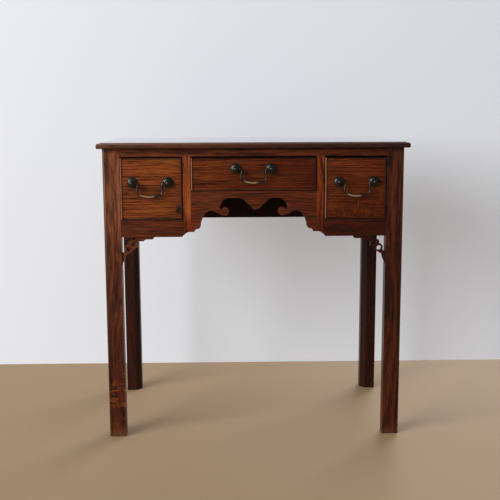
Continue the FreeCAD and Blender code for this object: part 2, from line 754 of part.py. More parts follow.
def make_kicker(word, centre):
    """The strip over a drawer that keeps it from tipping when it is pulled out."""
    body = board("Kicker", ("%s - kicker_width / 2" % centre, "%s + kicker_width / 2" % centre),
                 ("top_rail_back", "back_inner"), ("opening_top", "case_top"))
    return keep(body, "kicker_" + word)


def make_stops():
    """Blocks on the runners that a closed drawer meets."""
    lines = (
        ("leg_inner - runner_width", "leg_inner", "side_opening_bottom"),
        ("partition_outer", "partition_outer + runner_width", "side_opening_bottom"),
        ("partition_inner - runner_width", "partition_inner", "centre_opening_bottom"),
    )
    stops = []
    for near_x, far_x, level in lines:
        for _, side in SIDES:
            stops.append(board("Stop", across(side, near_x, far_x),
                               ("back_inner - stop_depth", "back_inner"),
                               (level, "%s + stop_height" % level)))
    return keep(group("DrawerStops", stops), "drawer_stops")


def make_glue_blocks():
    """Blocks rubbed into the corners under the top, along the side panels and the back."""
    level = ("case_top - block_size", "case_top")
    blocks = []
    for _, side in SIDES:
        for y in ("leg_section + block_length", "back_leg_front - block_length"):
            blocks.append(board("Block", across(side, "panel_inner - block_size", "panel_inner"),
                                ("%s - block_length / 2" % y, "%s + block_length / 2" % y),
                                level))
        blocks.append(board("Block", across(side, "back_block_place - block_length / 2",
                                            "back_block_place + block_length / 2"),
                            ("back_inner - block_size", "back_inner"), level))
    return keep(group("GlueBlocks", blocks), "glue_blocks")


def make_bracket(word, side):
    """A pierced C-scroll bracket in the corner of leg and bottom rail."""
    corner = size("leg_inner")
    front = size("joint_setback") + size("bracket_setback")
    base = size("case_bottom")

    def point(pair):
        return Vector(side * (corner - pair[0]), front, base - pair[1])

    start = point(BRACKET_START)
    edges, here = outline(BRACKET, start, point)
    edges.append(Part.makeLine(here, start))
    away = Vector(0, size("bracket_thickness"), 0)
    plate = Part.Face(Part.Wire(edges)).extrude(away)
    for inward, down, radius in BRACKET_HOLES:
        hole = Part.makeCylinder(radius, size("bracket_thickness"), point((inward, down)),
                                 Vector(0, 1, 0))
        plate = plate.cut(hole)
    return keep(feature("Bracket", plate), "bracket_" + word)


# ---------------------------------------------------------------------------------------------
# The drawers
# ---------------------------------------------------------------------------------------------

class Drawer:
    """The places of one drawer, as formulas, and its pieces."""

    def __init__(self, word, opening, level, tails, pivot, handle_shift):
        self.word = word
        self.low = "%s + side_gap" % opening[0]
        self.high = "%s - side_gap" % opening[1]
        self.handle_x = "((%s) + (%s)) / 2 + %s" % (opening + (handle_shift,))
        self.front_low = "%s + bottom_gap" % level
        self.front_high = "opening_top - top_gap"
        self.side_low = "%s + running_gap" % level
        self.side_high = "opening_top - top_gap - side_drop"
        self.groove_low = "%s + bottom_rise" % self.side_low
        self.back_low = "%s + drawer_bottom_thickness" % self.groove_low
        self.back_high = "%s - back_drop" % self.side_high
        self.tails = tails
        self.pivot_z = "%s + %s" % (level, pivot)

    def label(self, piece):
        """Node name of one piece."""
        return "%s_drawer_%s" % (self.word, piece)

    def side_x(self, side):
        """Low and high X of the drawer's left or right side."""
        if side > 0:
            return "%s - drawer_side_thickness" % self.high, self.high
        return self.low, "%s + drawer_side_thickness" % self.low

    def cut_tails(self, body, kind, side, at_front):
        """Tails at one end of one drawer side, or their sockets in front or back."""
        low, high = (self.front_low, self.side_high) if at_front else (self.back_low, self.back_high)
        x = "((%s) + (%s)) / 2" % self.side_x(side)
        y = "drawer_front_back" if at_front else "drawer_end - drawer_back_thickness"
        length = "tail_lap" if at_front else "drawer_back_thickness"
        for number in range(self.tails):
            share = "((%s) - (%s)) * %g" % (high, low, (number + 0.5) / self.tails)
            dovetail(body, kind, (x, y, "%s + %s" % (low, share)),
                     TO_FRONT if at_front else TO_BACK,
                     (length, "tail_root", "tail_root + tail_flare", "drawer_side_thickness"))

    def make_front(self):
        """The drawer front: rebates for the bead, sockets, groove and handle holes."""
        body = board("DrawerFront", (self.low, self.high), ("drawer_face", "drawer_front_back"),
                     (self.front_low, self.front_high))
        depth = ("drawer_face", "drawer_face + bead_depth")
        full_x = (self.low, self.high)
        full_z = (self.front_low, self.front_high)
        rebates = (
            ((self.low, "%s + bead_width" % self.low), full_z),
            (("%s - bead_width" % self.high, self.high), full_z),
            (full_x, (self.front_low, "%s + bead_width" % self.front_low)),
            (full_x, ("%s - bead_width" % self.front_high, self.front_high)),
        )
        for x, z in rebates:
            block(body, "Subtractive", "Rebate", x, depth, z)
        block(body, "Subtractive", "Groove", ("%s + drawer_side_thickness" % self.low,
                                              "%s - drawer_side_thickness" % self.high),
              ("drawer_front_back - groove_depth - groove_clearance", "drawer_front_back"),
              (self.groove_low, "%s + drawer_bottom_thickness + groove_clearance" % self.groove_low))
        for _, side in SIDES:
            self.cut_tails(body, "Subtractive", side, True)
            bore(body, ("%s + %d * handle_centres / 2" % (self.handle_x, side), "drawer_face",
                        self.pivot_z), ALONG_Y, "shank_radius + shank_clearance",
                 "drawer_front_thickness")
        return keep(body, self.label("front"))

    def make_side(self, word, side):
        """A drawer side with dovetails at both ends and a groove for the bottom."""
        x = self.side_x(side)
        body = board("DrawerSide", x, ("drawer_front_back", "drawer_end - drawer_back_thickness"),
                     (self.side_low, self.side_high))
        block(body, "Additive", "LowerEnd", x,
              ("drawer_end - drawer_back_thickness", "drawer_end"), (self.side_low, self.back_low))
        self.cut_tails(body, "Additive", side, True)
        self.cut_tails(body, "Additive", side, False)
        groove = (x[0], "%s + groove_depth" % x[0])
        if side < 0:
            groove = ("%s - groove_depth" % x[1], x[1])
        block(body, "Subtractive", "Groove", groove, ("drawer_front_back", "drawer_end"),
              (self.groove_low, "%s + drawer_bottom_thickness + groove_clearance" % self.groove_low))
        return keep(body, self.label(word + "_side"))

    def make_back(self):
        """The drawer back, over the bottom and between the tails of the sides."""
        body = board("DrawerBack", (self.low, self.high),
                     ("drawer_end - drawer_back_thickness", "drawer_end"),
                     (self.back_low, self.back_high))
        for _, side in SIDES:
            self.cut_tails(body, "Subtractive", side, False)
        return keep(body, self.label("back"))

    def make_bottom(self):
        """The thin bottom, slid into its grooves from behind."""
        inner = "drawer_side_thickness - groove_depth + groove_clearance"
        level = (self.groove_low, "%s + drawer_bottom_thickness" % self.groove_low)
        body = board("DrawerBottom", ("%s + %s" % (self.low, inner), "%s - (%s)" % (self.high, inner)),
                     ("drawer_front_back", "drawer_end"), level)
        block(body, "Additive", "FrontTongue", ("%s + drawer_side_thickness" % self.low,
                                                "%s - drawer_side_thickness" % self.high),
              ("drawer_front_back - groove_depth", "drawer_front_back"), level)
        return keep(body, self.label("bottom"))

    def make_handle(self):
        """Two posts, each with its rose as a separate casting, and their nuts inside."""
        posts, roses, nuts = [], [], []
        for _, side in SIDES:
            x = "%s + %d * handle_centres / 2" % (self.handle_x, side)
            posts.append(self.make_post(x, side))
            roses.append(self.make_rose(x))
            nuts.append(self.make_nut(x))
        keep(group("HandlePosts", posts), self.label("handle_posts"))
        keep(group("HandleRoses", roses), self.label("handle_roses"))
        keep(group("HandleNuts", nuts), self.label("handle_nuts"))

    def make_post(self, x, side):
        """A post: a ball with a blind hole for the bail's pin, a neck and a shank."""
        body = doc.addObject("PartDesign::Body", "Post")
        ball = place(body.newObject("PartDesign::AdditiveSphere", "Ball"),
                     (x, "pivot_y", self.pivot_z), Rotation())
        ball.setExpression("Radius", named("ball_radius"))
        for radius, start, end in (("post_radius", "pivot_y", "drawer_face - rose_rim"),
                                   ("shank_radius", "pivot_y", "drawer_front_back + shank_end")):
            rod = place(body.newObject("PartDesign::AdditiveCylinder", "Rod"),
                        (x, start, self.pivot_z), ALONG_Y)
            rod.setExpression("Radius", named(radius))
            rod.setExpression("Height", named("(%s) - (%s)" % (end, start)))
        mouth = "%s - %d * (ball_radius + bore_mouth)" % (x, side)
        bore(body, (mouth, "pivot_y", self.pivot_z), ALONG_X if side > 0 else ALONG_MINUS_X,
             "bail_radius + pivot_clearance", "pin_depth + bore_mouth")
        return body

    def make_rose(self, x):
        """A round, domed rose against the drawer front, bored for the post."""
        body = doc.addObject("PartDesign::Body", "Rose")
        rim = place(body.newObject("PartDesign::AdditiveCylinder", "Rim"),
                    (x, "drawer_face", self.pivot_z), ALONG_MINUS_Y)
        rim.setExpression("Radius", named("rose_radius"))
        rim.setExpression("Height", named("rose_rim"))
        dome = place(body.newObject("PartDesign::AdditiveSphere", "Dome"),
                     (x, "drawer_face - rose_rim + dome_radius - rose_dome", self.pivot_z),
                     ALONG_MINUS_Y)
        dome.setExpression("Radius", named("dome_radius"))
        dome.setExpression("Angle1", named("asin(1 - rose_dome / dome_radius)"))
        dome.Angle2 = 90
        bore(body, (x, "drawer_face", self.pivot_z), ALONG_MINUS_Y,
             "post_radius + shank_clearance", "rose_rim + rose_dome + bore_mouth")
        return body

    def make_nut(self, x):
        """A square nut on the end of a shank, against the back of the drawer front."""
        body = board("Nut", ("%s - nut_size / 2" % x, "%s + nut_size / 2" % x),
                     ("drawer_front_back", "drawer_front_back + nut_thickness"),
                     ("%s - nut_size / 2" % self.pivot_z, "%s + nut_size / 2" % self.pivot_z))
        bore(body, (x, "drawer_front_back", self.pivot_z), ALONG_Y,
             "shank_radius + shank_clearance", "nut_thickness")
        return body


def value(formula):
    """The present value of a formula, read from a bound property."""
    PLACES.setExpression(SCRATCH, named(formula))
    doc.recompute([PLACES])
    return getattr(PLACES, SCRATCH)


def make_cock_bead(drawer):
    """Four mitred strips with rounded noses, glued into the rebates of a drawer front."""
    low, high = value(drawer.low), value(drawer.high)
    bottom, top = value(drawer.front_low), value(drawer.front_high)
    width = size("bead_width")
    back = size("drawer_face") + size("bead_depth")
    nose = size("drawer_face") - size("bead_proud")
    shoulder = nose + width / 2
    corners = ((low, bottom), (high, bottom), (high, top), (low, top))
    strips = []
    for number in range(4):
        (x0, z0), (x1, z1) = corners[number], corners[(number + 1) % 4]
        along = Vector(x1 - x0, 0, z1 - z0)
        ahead = Vector(along).normalize()
        inward = Vector(-ahead.z, 0, ahead.x)
        origin = Vector(x0, 0, z0)
        outer_back = origin + Vector(0, back, 0)
        inner_back = outer_back + inward * width
        inner_shoulder = origin + inward * width + Vector(0, shoulder, 0)
        outer_shoulder = origin + Vector(0, shoulder, 0)
        tip = origin + inward * (width / 2) + Vector(0, nose, 0)
        profile = Part.Wire([Part.makeLine(outer_back, inner_back),
                             Part.makeLine(inner_back, inner_shoulder),
                             Part.Arc(inner_shoulder, tip, outer_shoulder).toShape(),
                             Part.makeLine(outer_shoulder, outer_back)])
        strip = Part.Face(profile).extrude(along)
        strips.append(strip.common(mitre_prism(origin, ahead, inward, along.Length, width)))
    return keep(feature("CockBead", Part.makeCompound(strips)), drawer.label("cock_bead"))


def mitre_prism(origin, ahead, inward, length, width):
    """The room of one strip: a trapezium with 45 degree ends, deep enough for any strip."""
    start = origin + Vector(0, -size("front_thickness"), 0)
    points = [start, start + ahead * length,
              start + ahead * (length - width) + inward * width,
              start + ahead * width + inward * width, start]
    return Part.Face(Part.makePolygon(points)).extrude(Vector(0, through_cut(), 0))


def make_bail(drawer, word):
    """The bent wire that is pulled; its two pins turn in the balls of the posts."""
    middle = value(drawer.handle_x)
    level = value(drawer.pivot_z)
    y = size("pivot_y")
    pin_end = (size("handle_centres") / 2 - size("ball_radius") + size("pin_depth")
               - size("pin_end_gap"))
    arm = size("bail_half_width")
    half = [(pin_end, 0.0), (arm, 0.0), (arm, size("bail_knee"))]
    points = [Vector(middle - x, y, level - down) for x, down in half]
    points.append(Vector(middle, y, level - size("bail_drop")))
    points += [Vector(middle + x, y, level - down) for x, down in reversed(half)]
    bends = [size("bail_elbow_radius"), size("bail_knee_radius")]
    path = rounded_path(points, bends + [size("bail_bottom_radius")] + bends[::-1])
    ring = Part.Wire(Part.makeCircle(size("bail_radius"), points[0], Vector(1, 0, 0)))
    solid = path.makePipeShell([ring], True, False)
    if solid.Volume < 0:
        solid.reverse()
    print("bail", word, "length", round(path.Length, 2), "volume", round(solid.Volume, 1),
          "section times length", round(math.pi * size("bail_radius") ** 2 * path.Length, 1))
    return keep(feature("Bail", solid), "bail_" + word)


# ---------------------------------------------------------------------------------------------
# Build, test and write
# ---------------------------------------------------------------------------------------------

def make_case():
    """Every piece that stays with the legs."""
    make_top()
    make_top_rail()
    make_apron(arch_cutter("ApronCutter"))
    for word, side in SIDES:
        make_front_leg(word, side)
        make_back_leg(word, side)
        make_side_panel(word, side)
        make_bottom_rail(word, side, arch_cutter("RailCutter"))
        make_divider(word, side, arch_cutter("DividerCutter"))
        make_partition(word, side)
        make_outer_runner(word, side)
        make_inner_runner(word, side)
        make_centre_runner(word, side)
        make_bracket(word, side)
    outer_middle = "(divider_outer + leg_inner) / 2"
    for word, centre in (("left", "-%s" % outer_middle), ("centre", "0"), ("right", outer_middle)):
        make_kicker(word, centre)
    make_back_panel()
    make_stops()
    make_glue_blocks()
    make_pegs()


def make_drawer(drawer):
    """Every piece of one drawer, and its bail."""
    drawer.make_front()
    for word, side in SIDES:
        drawer.make_side(word, side)
    drawer.make_back()
    drawer.make_bottom()
    make_cock_bead(drawer)
    drawer.make_handle()
    make_bail(drawer, drawer.word)


def make_drawers():
    """The two deep outer drawers and the shallow middle one."""
    for word, side in SIDES:
        make_drawer(Drawer(word, across(side, "divider_outer", "leg_inner"), "side_opening_bottom",
                           3, "side_handle_height", "%d * handle_outset" % side))
    make_drawer(Drawer("centre", ("-divider_inner", "divider_inner"), "centre_opening_bottom",
                       2, "centre_handle_height", "0"))


def check():
    """Stop if any object failed or any sub-part is empty or invalid."""
    for thing in doc.Objects:
        for word in ("Invalid", "Error"):
            if word in thing.State:
                raise RuntimeError("%s (%s) is %s" % (thing.Name, thing.Label, word))
    for thing in PARTS:
        if thing.Shape.isNull() or not thing.Shape.isValid():
            raise RuntimeError("%s has no valid shape" % thing.Label)
        if not thing.Shape.Solids or min(solid.Volume for solid in thing.Shape.Solids) <= 0:
            raise RuntimeError("%s has no volume" % thing.Label)


def write():
    """One STEP file for each sub-part."""
    os.makedirs("parts", exist_ok=True)
    for thing in PARTS:
        thing.Shape.exportStep("parts/%s.step" % thing.Label)
        box = thing.Shape.BoundBox
        print("%-28s solids %2d  volume %9.0f  x %7.1f %7.1f  y %7.1f %7.1f  z %6.1f %6.1f" % (
            thing.Label, len(thing.Shape.Solids), thing.Shape.Volume,
            box.XMin, box.XMax, box.YMin, box.YMax, box.ZMin, box.ZMax))
    print(len(PARTS), "sub-parts")


make_case()
make_drawers()
doc.recompute()
check()
write()
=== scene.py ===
# %% [markdown]
# # A small oak lowboy: looks
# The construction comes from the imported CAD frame: sixty nodes on seven bodies (the case, three
# drawers and three bails).  This script gives every piece the finish of old waxed country oak or
# of worn brass, and replaces the hard CAD meshes by softer ones where a maker's hand would show.
# Everything is in metres, in the frame of the CAD: X to the right, Y to the back, Z up.

# %% Load the frame
import json
import math
import random

import bmesh
import bpy
from mathutils import Matrix, Vector, noise

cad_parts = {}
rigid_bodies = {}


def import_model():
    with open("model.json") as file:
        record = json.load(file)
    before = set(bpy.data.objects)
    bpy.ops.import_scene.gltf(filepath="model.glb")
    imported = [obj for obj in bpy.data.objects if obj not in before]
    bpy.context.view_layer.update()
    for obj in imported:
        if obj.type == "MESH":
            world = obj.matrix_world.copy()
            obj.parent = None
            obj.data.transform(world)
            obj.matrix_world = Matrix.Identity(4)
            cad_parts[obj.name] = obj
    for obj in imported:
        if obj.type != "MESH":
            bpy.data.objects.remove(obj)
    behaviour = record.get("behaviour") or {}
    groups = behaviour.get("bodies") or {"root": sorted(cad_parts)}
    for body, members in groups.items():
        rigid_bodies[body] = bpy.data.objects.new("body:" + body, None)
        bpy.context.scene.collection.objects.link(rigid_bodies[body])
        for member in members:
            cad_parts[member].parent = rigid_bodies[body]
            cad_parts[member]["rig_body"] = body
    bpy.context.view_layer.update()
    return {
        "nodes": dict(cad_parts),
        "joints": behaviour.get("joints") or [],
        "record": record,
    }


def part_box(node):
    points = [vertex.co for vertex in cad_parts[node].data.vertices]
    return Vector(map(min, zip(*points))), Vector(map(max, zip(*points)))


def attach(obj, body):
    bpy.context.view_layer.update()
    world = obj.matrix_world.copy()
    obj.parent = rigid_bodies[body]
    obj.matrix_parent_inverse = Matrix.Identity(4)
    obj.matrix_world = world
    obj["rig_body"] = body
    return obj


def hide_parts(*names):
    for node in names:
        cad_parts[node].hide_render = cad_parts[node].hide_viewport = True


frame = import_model()
NODES = frame["nodes"]
MM = 0.001

# %% [markdown]
# ## Small helpers for node trees
# Shader trees and Geometry Nodes trees are built the same way: a node is added, its options are
# set, and each of its sockets gets either a value or a link.  A few helpers keep that short.


# %% Helpers for node trees
def fill(tree, socket, content):
    """Gives a socket what it works with: a link from another socket, or a plain value."""
    if isinstance(content, bpy.types.NodeSocket):
        tree.links.new(content, socket)
    else:
        socket.default_value = content


def add(tree, kind, sockets=None, **options):
    """One node of a tree, with its options set and its sockets filled by name or number."""
    made = tree.nodes.new(kind)
    for name, option in options.items():
        setattr(made, name, option)
    for name, content in (sockets or {}).items():
        fill(tree, made.inputs[name], content)
    return made


def maths(tree, operation, *contents, clamp=False):
    """A Math node's result."""
    made = add(tree, "ShaderNodeMath", dict(enumerate(contents)), operation=operation)
    made.use_clamp = clamp
    return made.outputs[0]


def ramped(tree, content, low, high, to_low=0.0, to_high=1.0):
    """A smooth step from to_low to to_high while the content goes from low to high."""
    made = add(tree, "ShaderNodeMapRange", interpolation_type="SMOOTHSTEP",
               sockets={"Value": content, "From Min": low, "From Max": high,
                        "To Min": to_low, "To Max": to_high})
    return made.outputs[0]


def blended(tree, share, first, second, kind="MIX"):
    """Two colours mixed by a share from 0 to 1."""
    made = add(tree, "ShaderNodeMix", {"Factor": share}, data_type="RGBA", blend_type=kind)
    # Mix has sockets A and B for every data type, and the two for colours are told by their type
    pair = [socket for socket in made.inputs if socket.type == "RGBA"]
    fill(tree, pair[0], first)
    fill(tree, pair[1], second)
    return next(socket for socket in made.outputs if socket.type == "RGBA")


def cloud(tree, place, scale, detail=3.0, roughness=0.55, distortion=0.0):
    """A noise texture's value over a place."""
    made = add(tree, "ShaderNodeTexNoise",
               {"Vector": place, "Scale": scale, "Detail": detail, "Roughness": roughness,
                "Distortion": distortion})
    return made.outputs["Fac"]


def stretched(tree, place, x, y, z):
    """A place with each of its coordinates multiplied."""
    made = add(tree, "ShaderNodeVectorMath", {0: place, 1: (x, y, z)}, operation="MULTIPLY")
    return made.outputs[0]


def colour(red, green, blue):
    """A colour with full cover."""
    return (red, green, blue, 1.0)


def new_group(name, kind, takes, gives):
    """A node group with named sockets: the tree, its input node and its output node."""
    tree = bpy.data.node_groups.new(name, kind)
    for label, socket, default in takes:
        made = tree.interface.new_socket(label, in_out="INPUT", socket_type="NodeSocket" + socket)
        if default is not None:
            made.default_value = default
    for label, socket in gives:
        tree.interface.new_socket(label, in_out="OUTPUT", socket_type="NodeSocket" + socket)
    return tree, tree.nodes.new("NodeGroupInput"), tree.nodes.new("NodeGroupOutput")


def give(tree, outlet, **results):
    """Links results to the group's outputs; an underscore stands for a space."""
    for name, socket in results.items():
        tree.links.new(socket, outlet.inputs[name.replace("_", " ")])


# %% [markdown]
# ## Oak as a shader group
# Oak shows four things at once: growth rings as darker and lighter streaks along the grain, open
# pores as short dark dashes, the silvery or honey flecks of the rays where a board is cut
# towards the middle of the tree, and broad changes of tone.  A flat picture could show only one
# side of a board.  Here the pattern is solid: each board carries the place that it had in its
# log, in an attribute, so that rings run round the end grain and straight along the sides.

# %% The oak group
RINGS_PER_METRE = 430.0
FINE_RINGS_PER_METRE = 1100.0
PORES_PER_METRE = 1300.0
RAYS_PER_METRE = 34.0
RING_WANDER = 0.022
RAY_SHAPE = 3.4


def make_oak_group():
    tree, inlet, outlet = new_group(
        "Old oak", "ShaderNodeTree",
        (("Dark", "Color", colour(0.05, 0.015, 0.007)),
         ("Light", "Color", colour(0.25, 0.08, 0.02)),
         ("Pore", "Color", colour(0.012, 0.005, 0.003)),
         ("Fleck", "Color", colour(0.3, 0.12, 0.035)),
         ("Glow", "Color", colour(0.3, 0.12, 0.03)),
         ("Streaks", "Float", 1.0),
         ("Pores", "Float", 0.7),
         ("Flecks", "Float", 0.0)),
        (("Color", "Color"), ("Tint", "Color"), ("Height", "Float"), ("Pore mask", "Float"),
         ("Fleck mask", "Float")))
    place = add(tree, "ShaderNodeAttribute", attribute_name="log_place").outputs["Vector"]
    # the tone holds each board's own darkness and the painted light written into it
    tone = add(tree, "ShaderNodeAttribute", attribute_name="tone_and_light").outputs["Fac"]
    figure = add(tree, "ShaderNodeAttribute", attribute_name="figure").outputs["Fac"]
    x, y, z = add(tree, "ShaderNodeSeparateXYZ", {0: place}).outputs
    # the rings wander a few millimetres along the log
    wander = cloud(tree, stretched(tree, place, 2.2, 9.0, 9.0), 1.0, 2.0)
    wander = maths(tree, "MULTIPLY", maths(tree, "SUBTRACT", wander, 0.5), RING_WANDER)
    radius = maths(tree, "SQRT", maths(tree, "ADD", maths(tree, "MULTIPLY", y, y),
                                       maths(tree, "MULTIPLY", z, z)))
    radius = maths(tree, "ADD", radius, wander)

    def along_rings(rings, length):
        return add(tree, "ShaderNodeCombineXYZ",
                   {"X": maths(tree, "MULTIPLY", x, length),
                    "Y": maths(tree, "MULTIPLY", radius, rings)}).outputs[0]

    rings = cloud(tree, along_rings(RINGS_PER_METRE, 6.0), 1.0, 3.0, 0.6)
    fine = cloud(tree, along_rings(FINE_RINGS_PER_METRE, 14.0), 1.0, 2.0, 0.6)
    mottle = cloud(tree, stretched(tree, place, 34.0, 400.0, 400.0), 1.0, 3.0, 0.7)
    patches = cloud(tree, stretched(tree, place, 9.0, 50.0, 50.0), 1.0, 3.0, 0.6)
    broad = cloud(tree, stretched(tree, place, 4.0, 14.0, 14.0), 1.0, 2.0)
    streak = ramped(tree, rings, 0.34, 0.66)
    # open pores stand in rows in the early wood, which is the darker side of the streaks
    speck = cloud(tree, stretched(tree, place, 42.0, PORES_PER_METRE, PORES_PER_METRE), 1.0, 1.0)
    early = ramped(tree, rings, 0.62, 0.40, 0.15, 1.0)
    pores = maths(tree, "MULTIPLY", ramped(tree, speck, 0.56, 0.66), early)
    # rays cross the grain; they show as flecks that are longer across it than along it
    rays_at = stretched(tree, place, RAY_SHAPE * RAYS_PER_METRE, RAYS_PER_METRE, RAYS_PER_METRE)
    rays = cloud(tree, rays_at, 1.0, 3.0, 0.6, 0.5)
    clumps = cloud(tree, stretched(tree, place, 26.0, 34.0, 34.0), 1.0, 1.0)
    fleck = maths(tree, "MULTIPLY", ramped(tree, rays, 0.50, 0.60), ramped(tree, clumps, 0.36, 0.56))
    fleck = maths(tree, "MULTIPLY", fleck, maths(tree, "ADD", inlet.outputs["Flecks"], figure,
                                                 clamp=True))
    # the parts swing about their middle and add up to one level between dark and light
    level = 0.5
    for part, strength in ((streak, 0.65), (fine, 1.0), (mottle, 1.75), (broad, 0.3)):
        swing = maths(tree, "MULTIPLY", maths(tree, "SUBTRACT", part, 0.5), strength)
        swing = maths(tree, "MULTIPLY", swing, inlet.outputs["Streaks"])
        level = maths(tree, "ADD", swing, level)
    level = maths(tree, "MAXIMUM", level, 0.0, clamp=True)
    wood = blended(tree, level, inlet.outputs["Dark"], inlet.outputs["Light"])
    wood = blended(tree, ramped(tree, patches, 0.50, 0.72, 0.0, 0.6), wood, inlet.outputs["Glow"])
    wood = blended(tree, fleck, wood, inlet.outputs["Fleck"])
    pore_share = maths(tree, "MULTIPLY", pores, inlet.outputs["Pores"])
    wood = blended(tree, pore_share, wood, inlet.outputs["Pore"])
    height = maths(tree, "SUBTRACT", maths(tree, "MULTIPLY", fine, 0.35), pore_share)
    # a darker tone, from age and from the painted shade in the tones, loses green and blue before
    # red
    aged = maths(tree, "MINIMUM", tone, 1.0)
    tint = add(tree, "ShaderNodeCombineColor", {
        "Red": tone, "Green": maths(tree, "MULTIPLY", tone, maths(tree, "POWER", aged, 0.45)),
        "Blue": maths(tree, "MULTIPLY", tone, maths(tree, "POWER", aged, 0.8))}).outputs[0]
    give(tree, outlet, Color=wood, Tint=tint, Height=height, Pore_mask=pore_share,
         Fleck_mask=fleck)
    return tree


OAK = make_oak_group()
print("oak group:", len(OAK.nodes), "nodes")

# %% [markdown]
# ## Edge wear, and dust with painted shade, as shader groups
# Two hundred years of handling and dusting rub the wax and colour off the arrises, and leave a
# dark line of wax and dust where two pieces meet; the same darkening is painted shade in every
# crease and recess.  The first is where a rounded copy of the surface would point another way,
# which the Bevel node tells.  The second is where little open air is near, which the Ambient
# Occlusion node tells.  Both are broken up by noise, because no edge is worn evenly.


# %% The groups for wear, and for dust with painted shade
def make_wear_group():
    tree, inlet, outlet = new_group(
        "Rubbed edges", "ShaderNodeTree",
        (("Width", "Float", 0.002), ("Amount", "Float", 1.0)), (("Worn", "Float"),))
    rounded = add(tree, "ShaderNodeBevel", {"Radius": inlet.outputs["Width"]}, samples=4)
    real = add(tree, "ShaderNodeNewGeometry").outputs["Normal"]
    same = add(tree, "ShaderNodeVectorMath", {0: rounded.outputs[0], 1: real},
               operation="DOT_PRODUCT").outputs["Value"]
    edge = ramped(tree, same, 0.995, 0.80)
    place = add(tree, "ShaderNodeTexCoord").outputs["Object"]
    patchy = ramped(tree, cloud(tree, place, 38.0, 3.0, 0.65), 0.36, 0.60)
    worn = maths(tree, "MULTIPLY", maths(tree, "MULTIPLY", edge, patchy),
                 inlet.outputs["Amount"], clamp=True)
    give(tree, outlet, Worn=worn)
    return tree


def make_dust_and_shade_group():
    tree, inlet, outlet = new_group(
        "Grime in corners", "ShaderNodeTree",
        (("Reach", "Float", 0.012), ("Amount", "Float", 1.0)), (("Grime", "Float"),))
    open_air = add(tree, "ShaderNodeAmbientOcclusion", {"Distance": inlet.outputs["Reach"]},
                   samples=4).outputs["AO"]
    place = add(tree, "ShaderNodeTexCoord").outputs["Object"]
    patchy = ramped(tree, cloud(tree, place, 55.0, 3.0, 0.6), 0.25, 0.62, 0.35, 1.0)
    # the closed-in share: dust, and painted shade in creases and recesses
    shut = ramped(tree, open_air, 0.94, 0.45)
    dust_and_shade = maths(tree, "MULTIPLY", maths(tree, "MULTIPLY", shut, patchy),
                  inlet.outputs["Amount"], clamp=True)
    give(tree, outlet, Grime=dust_and_shade)
    return tree


def make_knot_group():
    """A small ragged knot: dark in the middle, a little taller than wide, and deep."""
    tree, inlet, outlet = new_group(
        "Small knot", "ShaderNodeTree",
        (("Place", "Vector", None), ("Size", "Float", 0.01)), (("Knot", "Float"),))
    place = add(tree, "ShaderNodeTexCoord").outputs["Object"]
    apart = add(tree, "ShaderNodeVectorMath", {0: place, 1: inlet.outputs["Place"]},
                operation="SUBTRACT").outputs[0]
    ragged = maths(tree, "MULTIPLY", maths(tree, "SUBTRACT", cloud(tree, place, 220.0), 0.5), 1.3)
    reach = add(tree, "ShaderNodeVectorMath", {0: stretched(tree, apart, 1.25, 0.2, 0.85)},
                operation="LENGTH").outputs["Value"]
    reach = maths(tree, "DIVIDE", reach, inlet.outputs["Size"])
    reach = maths(tree, "ADD", reach, ragged)
    give(tree, outlet, Knot=ramped(tree, reach, 1.2, 0.25, 0.0, 0.95))
    return tree


WEAR = make_wear_group()
DUST_AND_SHADE = make_dust_and_shade_group()
KNOT = make_knot_group()
print("wear, grime and knot:", [len(kind.nodes) for kind in (WEAR, DUST_AND_SHADE, KNOT)], "nodes")

# %% [markdown]
# ## Finishes
# All the outside wood is one timber under one old wax polish; what differs is how dark it has
# gone, how streaky the board is, and how much hands have rubbed it.  So one function makes them
# all from named numbers.  The insides of the drawers never saw polish: they are dry, paler and
# rougher, and a second function makes those.


# %% A material to start from
def start_material(name):
    """A new material, its tree, its Principled BSDF and the helper that adds groups to it."""
    made = bpy.data.materials.new(name)
    made.use_nodes = True
    tree = made.node_tree

    def group(kind, **values):
        named = {label.replace("_", " "): content for label, content in values.items()}
        return add(tree, "ShaderNodeGroup", named, node_tree=kind).outputs

    return made, tree, tree.nodes["Principled BSDF"], group


def relief(tree, shader, rough, height, strength, depth):
    """Gives the shader its roughness and a fine relief."""
    bump = add(tree, "ShaderNodeBump", {"Height": height, "Strength": strength,
                                        "Distance": depth})
    tree.links.new(rough, shader.inputs["Roughness"])
    tree.links.new(bump.outputs[0], shader.inputs["Normal"])


# %% Waxed oak and dry oak
# the colour of dust, wax and painted shade in corners and creases; the knot is drawn in it too
WAX_DUST_AND_SHADE = colour(0.005, 0.0025, 0.0015)
BARE_AND_HIGHLIGHT_OAK = colour(0.27, 0.14, 0.085)
KNOT_PLACE, KNOT_SIZE = (-0.178, -0.195, 0.561), 0.0125
# how much rougher pores and the dust with painted shade are than the wood round them, and how much
# smoother flecks
PORES_ROUGHER, DUST_AND_SHADE_ROUGHER, FLECKS_SMOOTHER = 0.25, 0.3, 0.08


def shades(red, green, blue, spread=0.7):
    """The dark and the light end of a wood whose middle colour is given."""
    dark = colour(*((1 - spread) * part for part in (red, green, blue)))
    light = colour(*((1 + spread) * part for part in (red, green, blue)))
    return dark, light


def oak_colour(tree, shader, oak, worn, dust_and_shade, bare):
    """Wood, bare on worn edges and painted highlights, toned by painted light, with dust and painted
    shade in corners.
    """
    rubbed_and_highlight = add(tree, "ShaderNodeAttribute", attribute_name="rubbed").outputs["Fac"]
    wood = blended(tree, maths(tree, "MAXIMUM", worn, rubbed_and_highlight, clamp=True), oak["Color"], bare)
    wood = blended(tree, 1.0, wood, oak["Tint"], "MULTIPLY")
    wood = blended(tree, dust_and_shade, wood, WAX_DUST_AND_SHADE)
    tree.links.new(wood, shader.inputs["Base Color"])


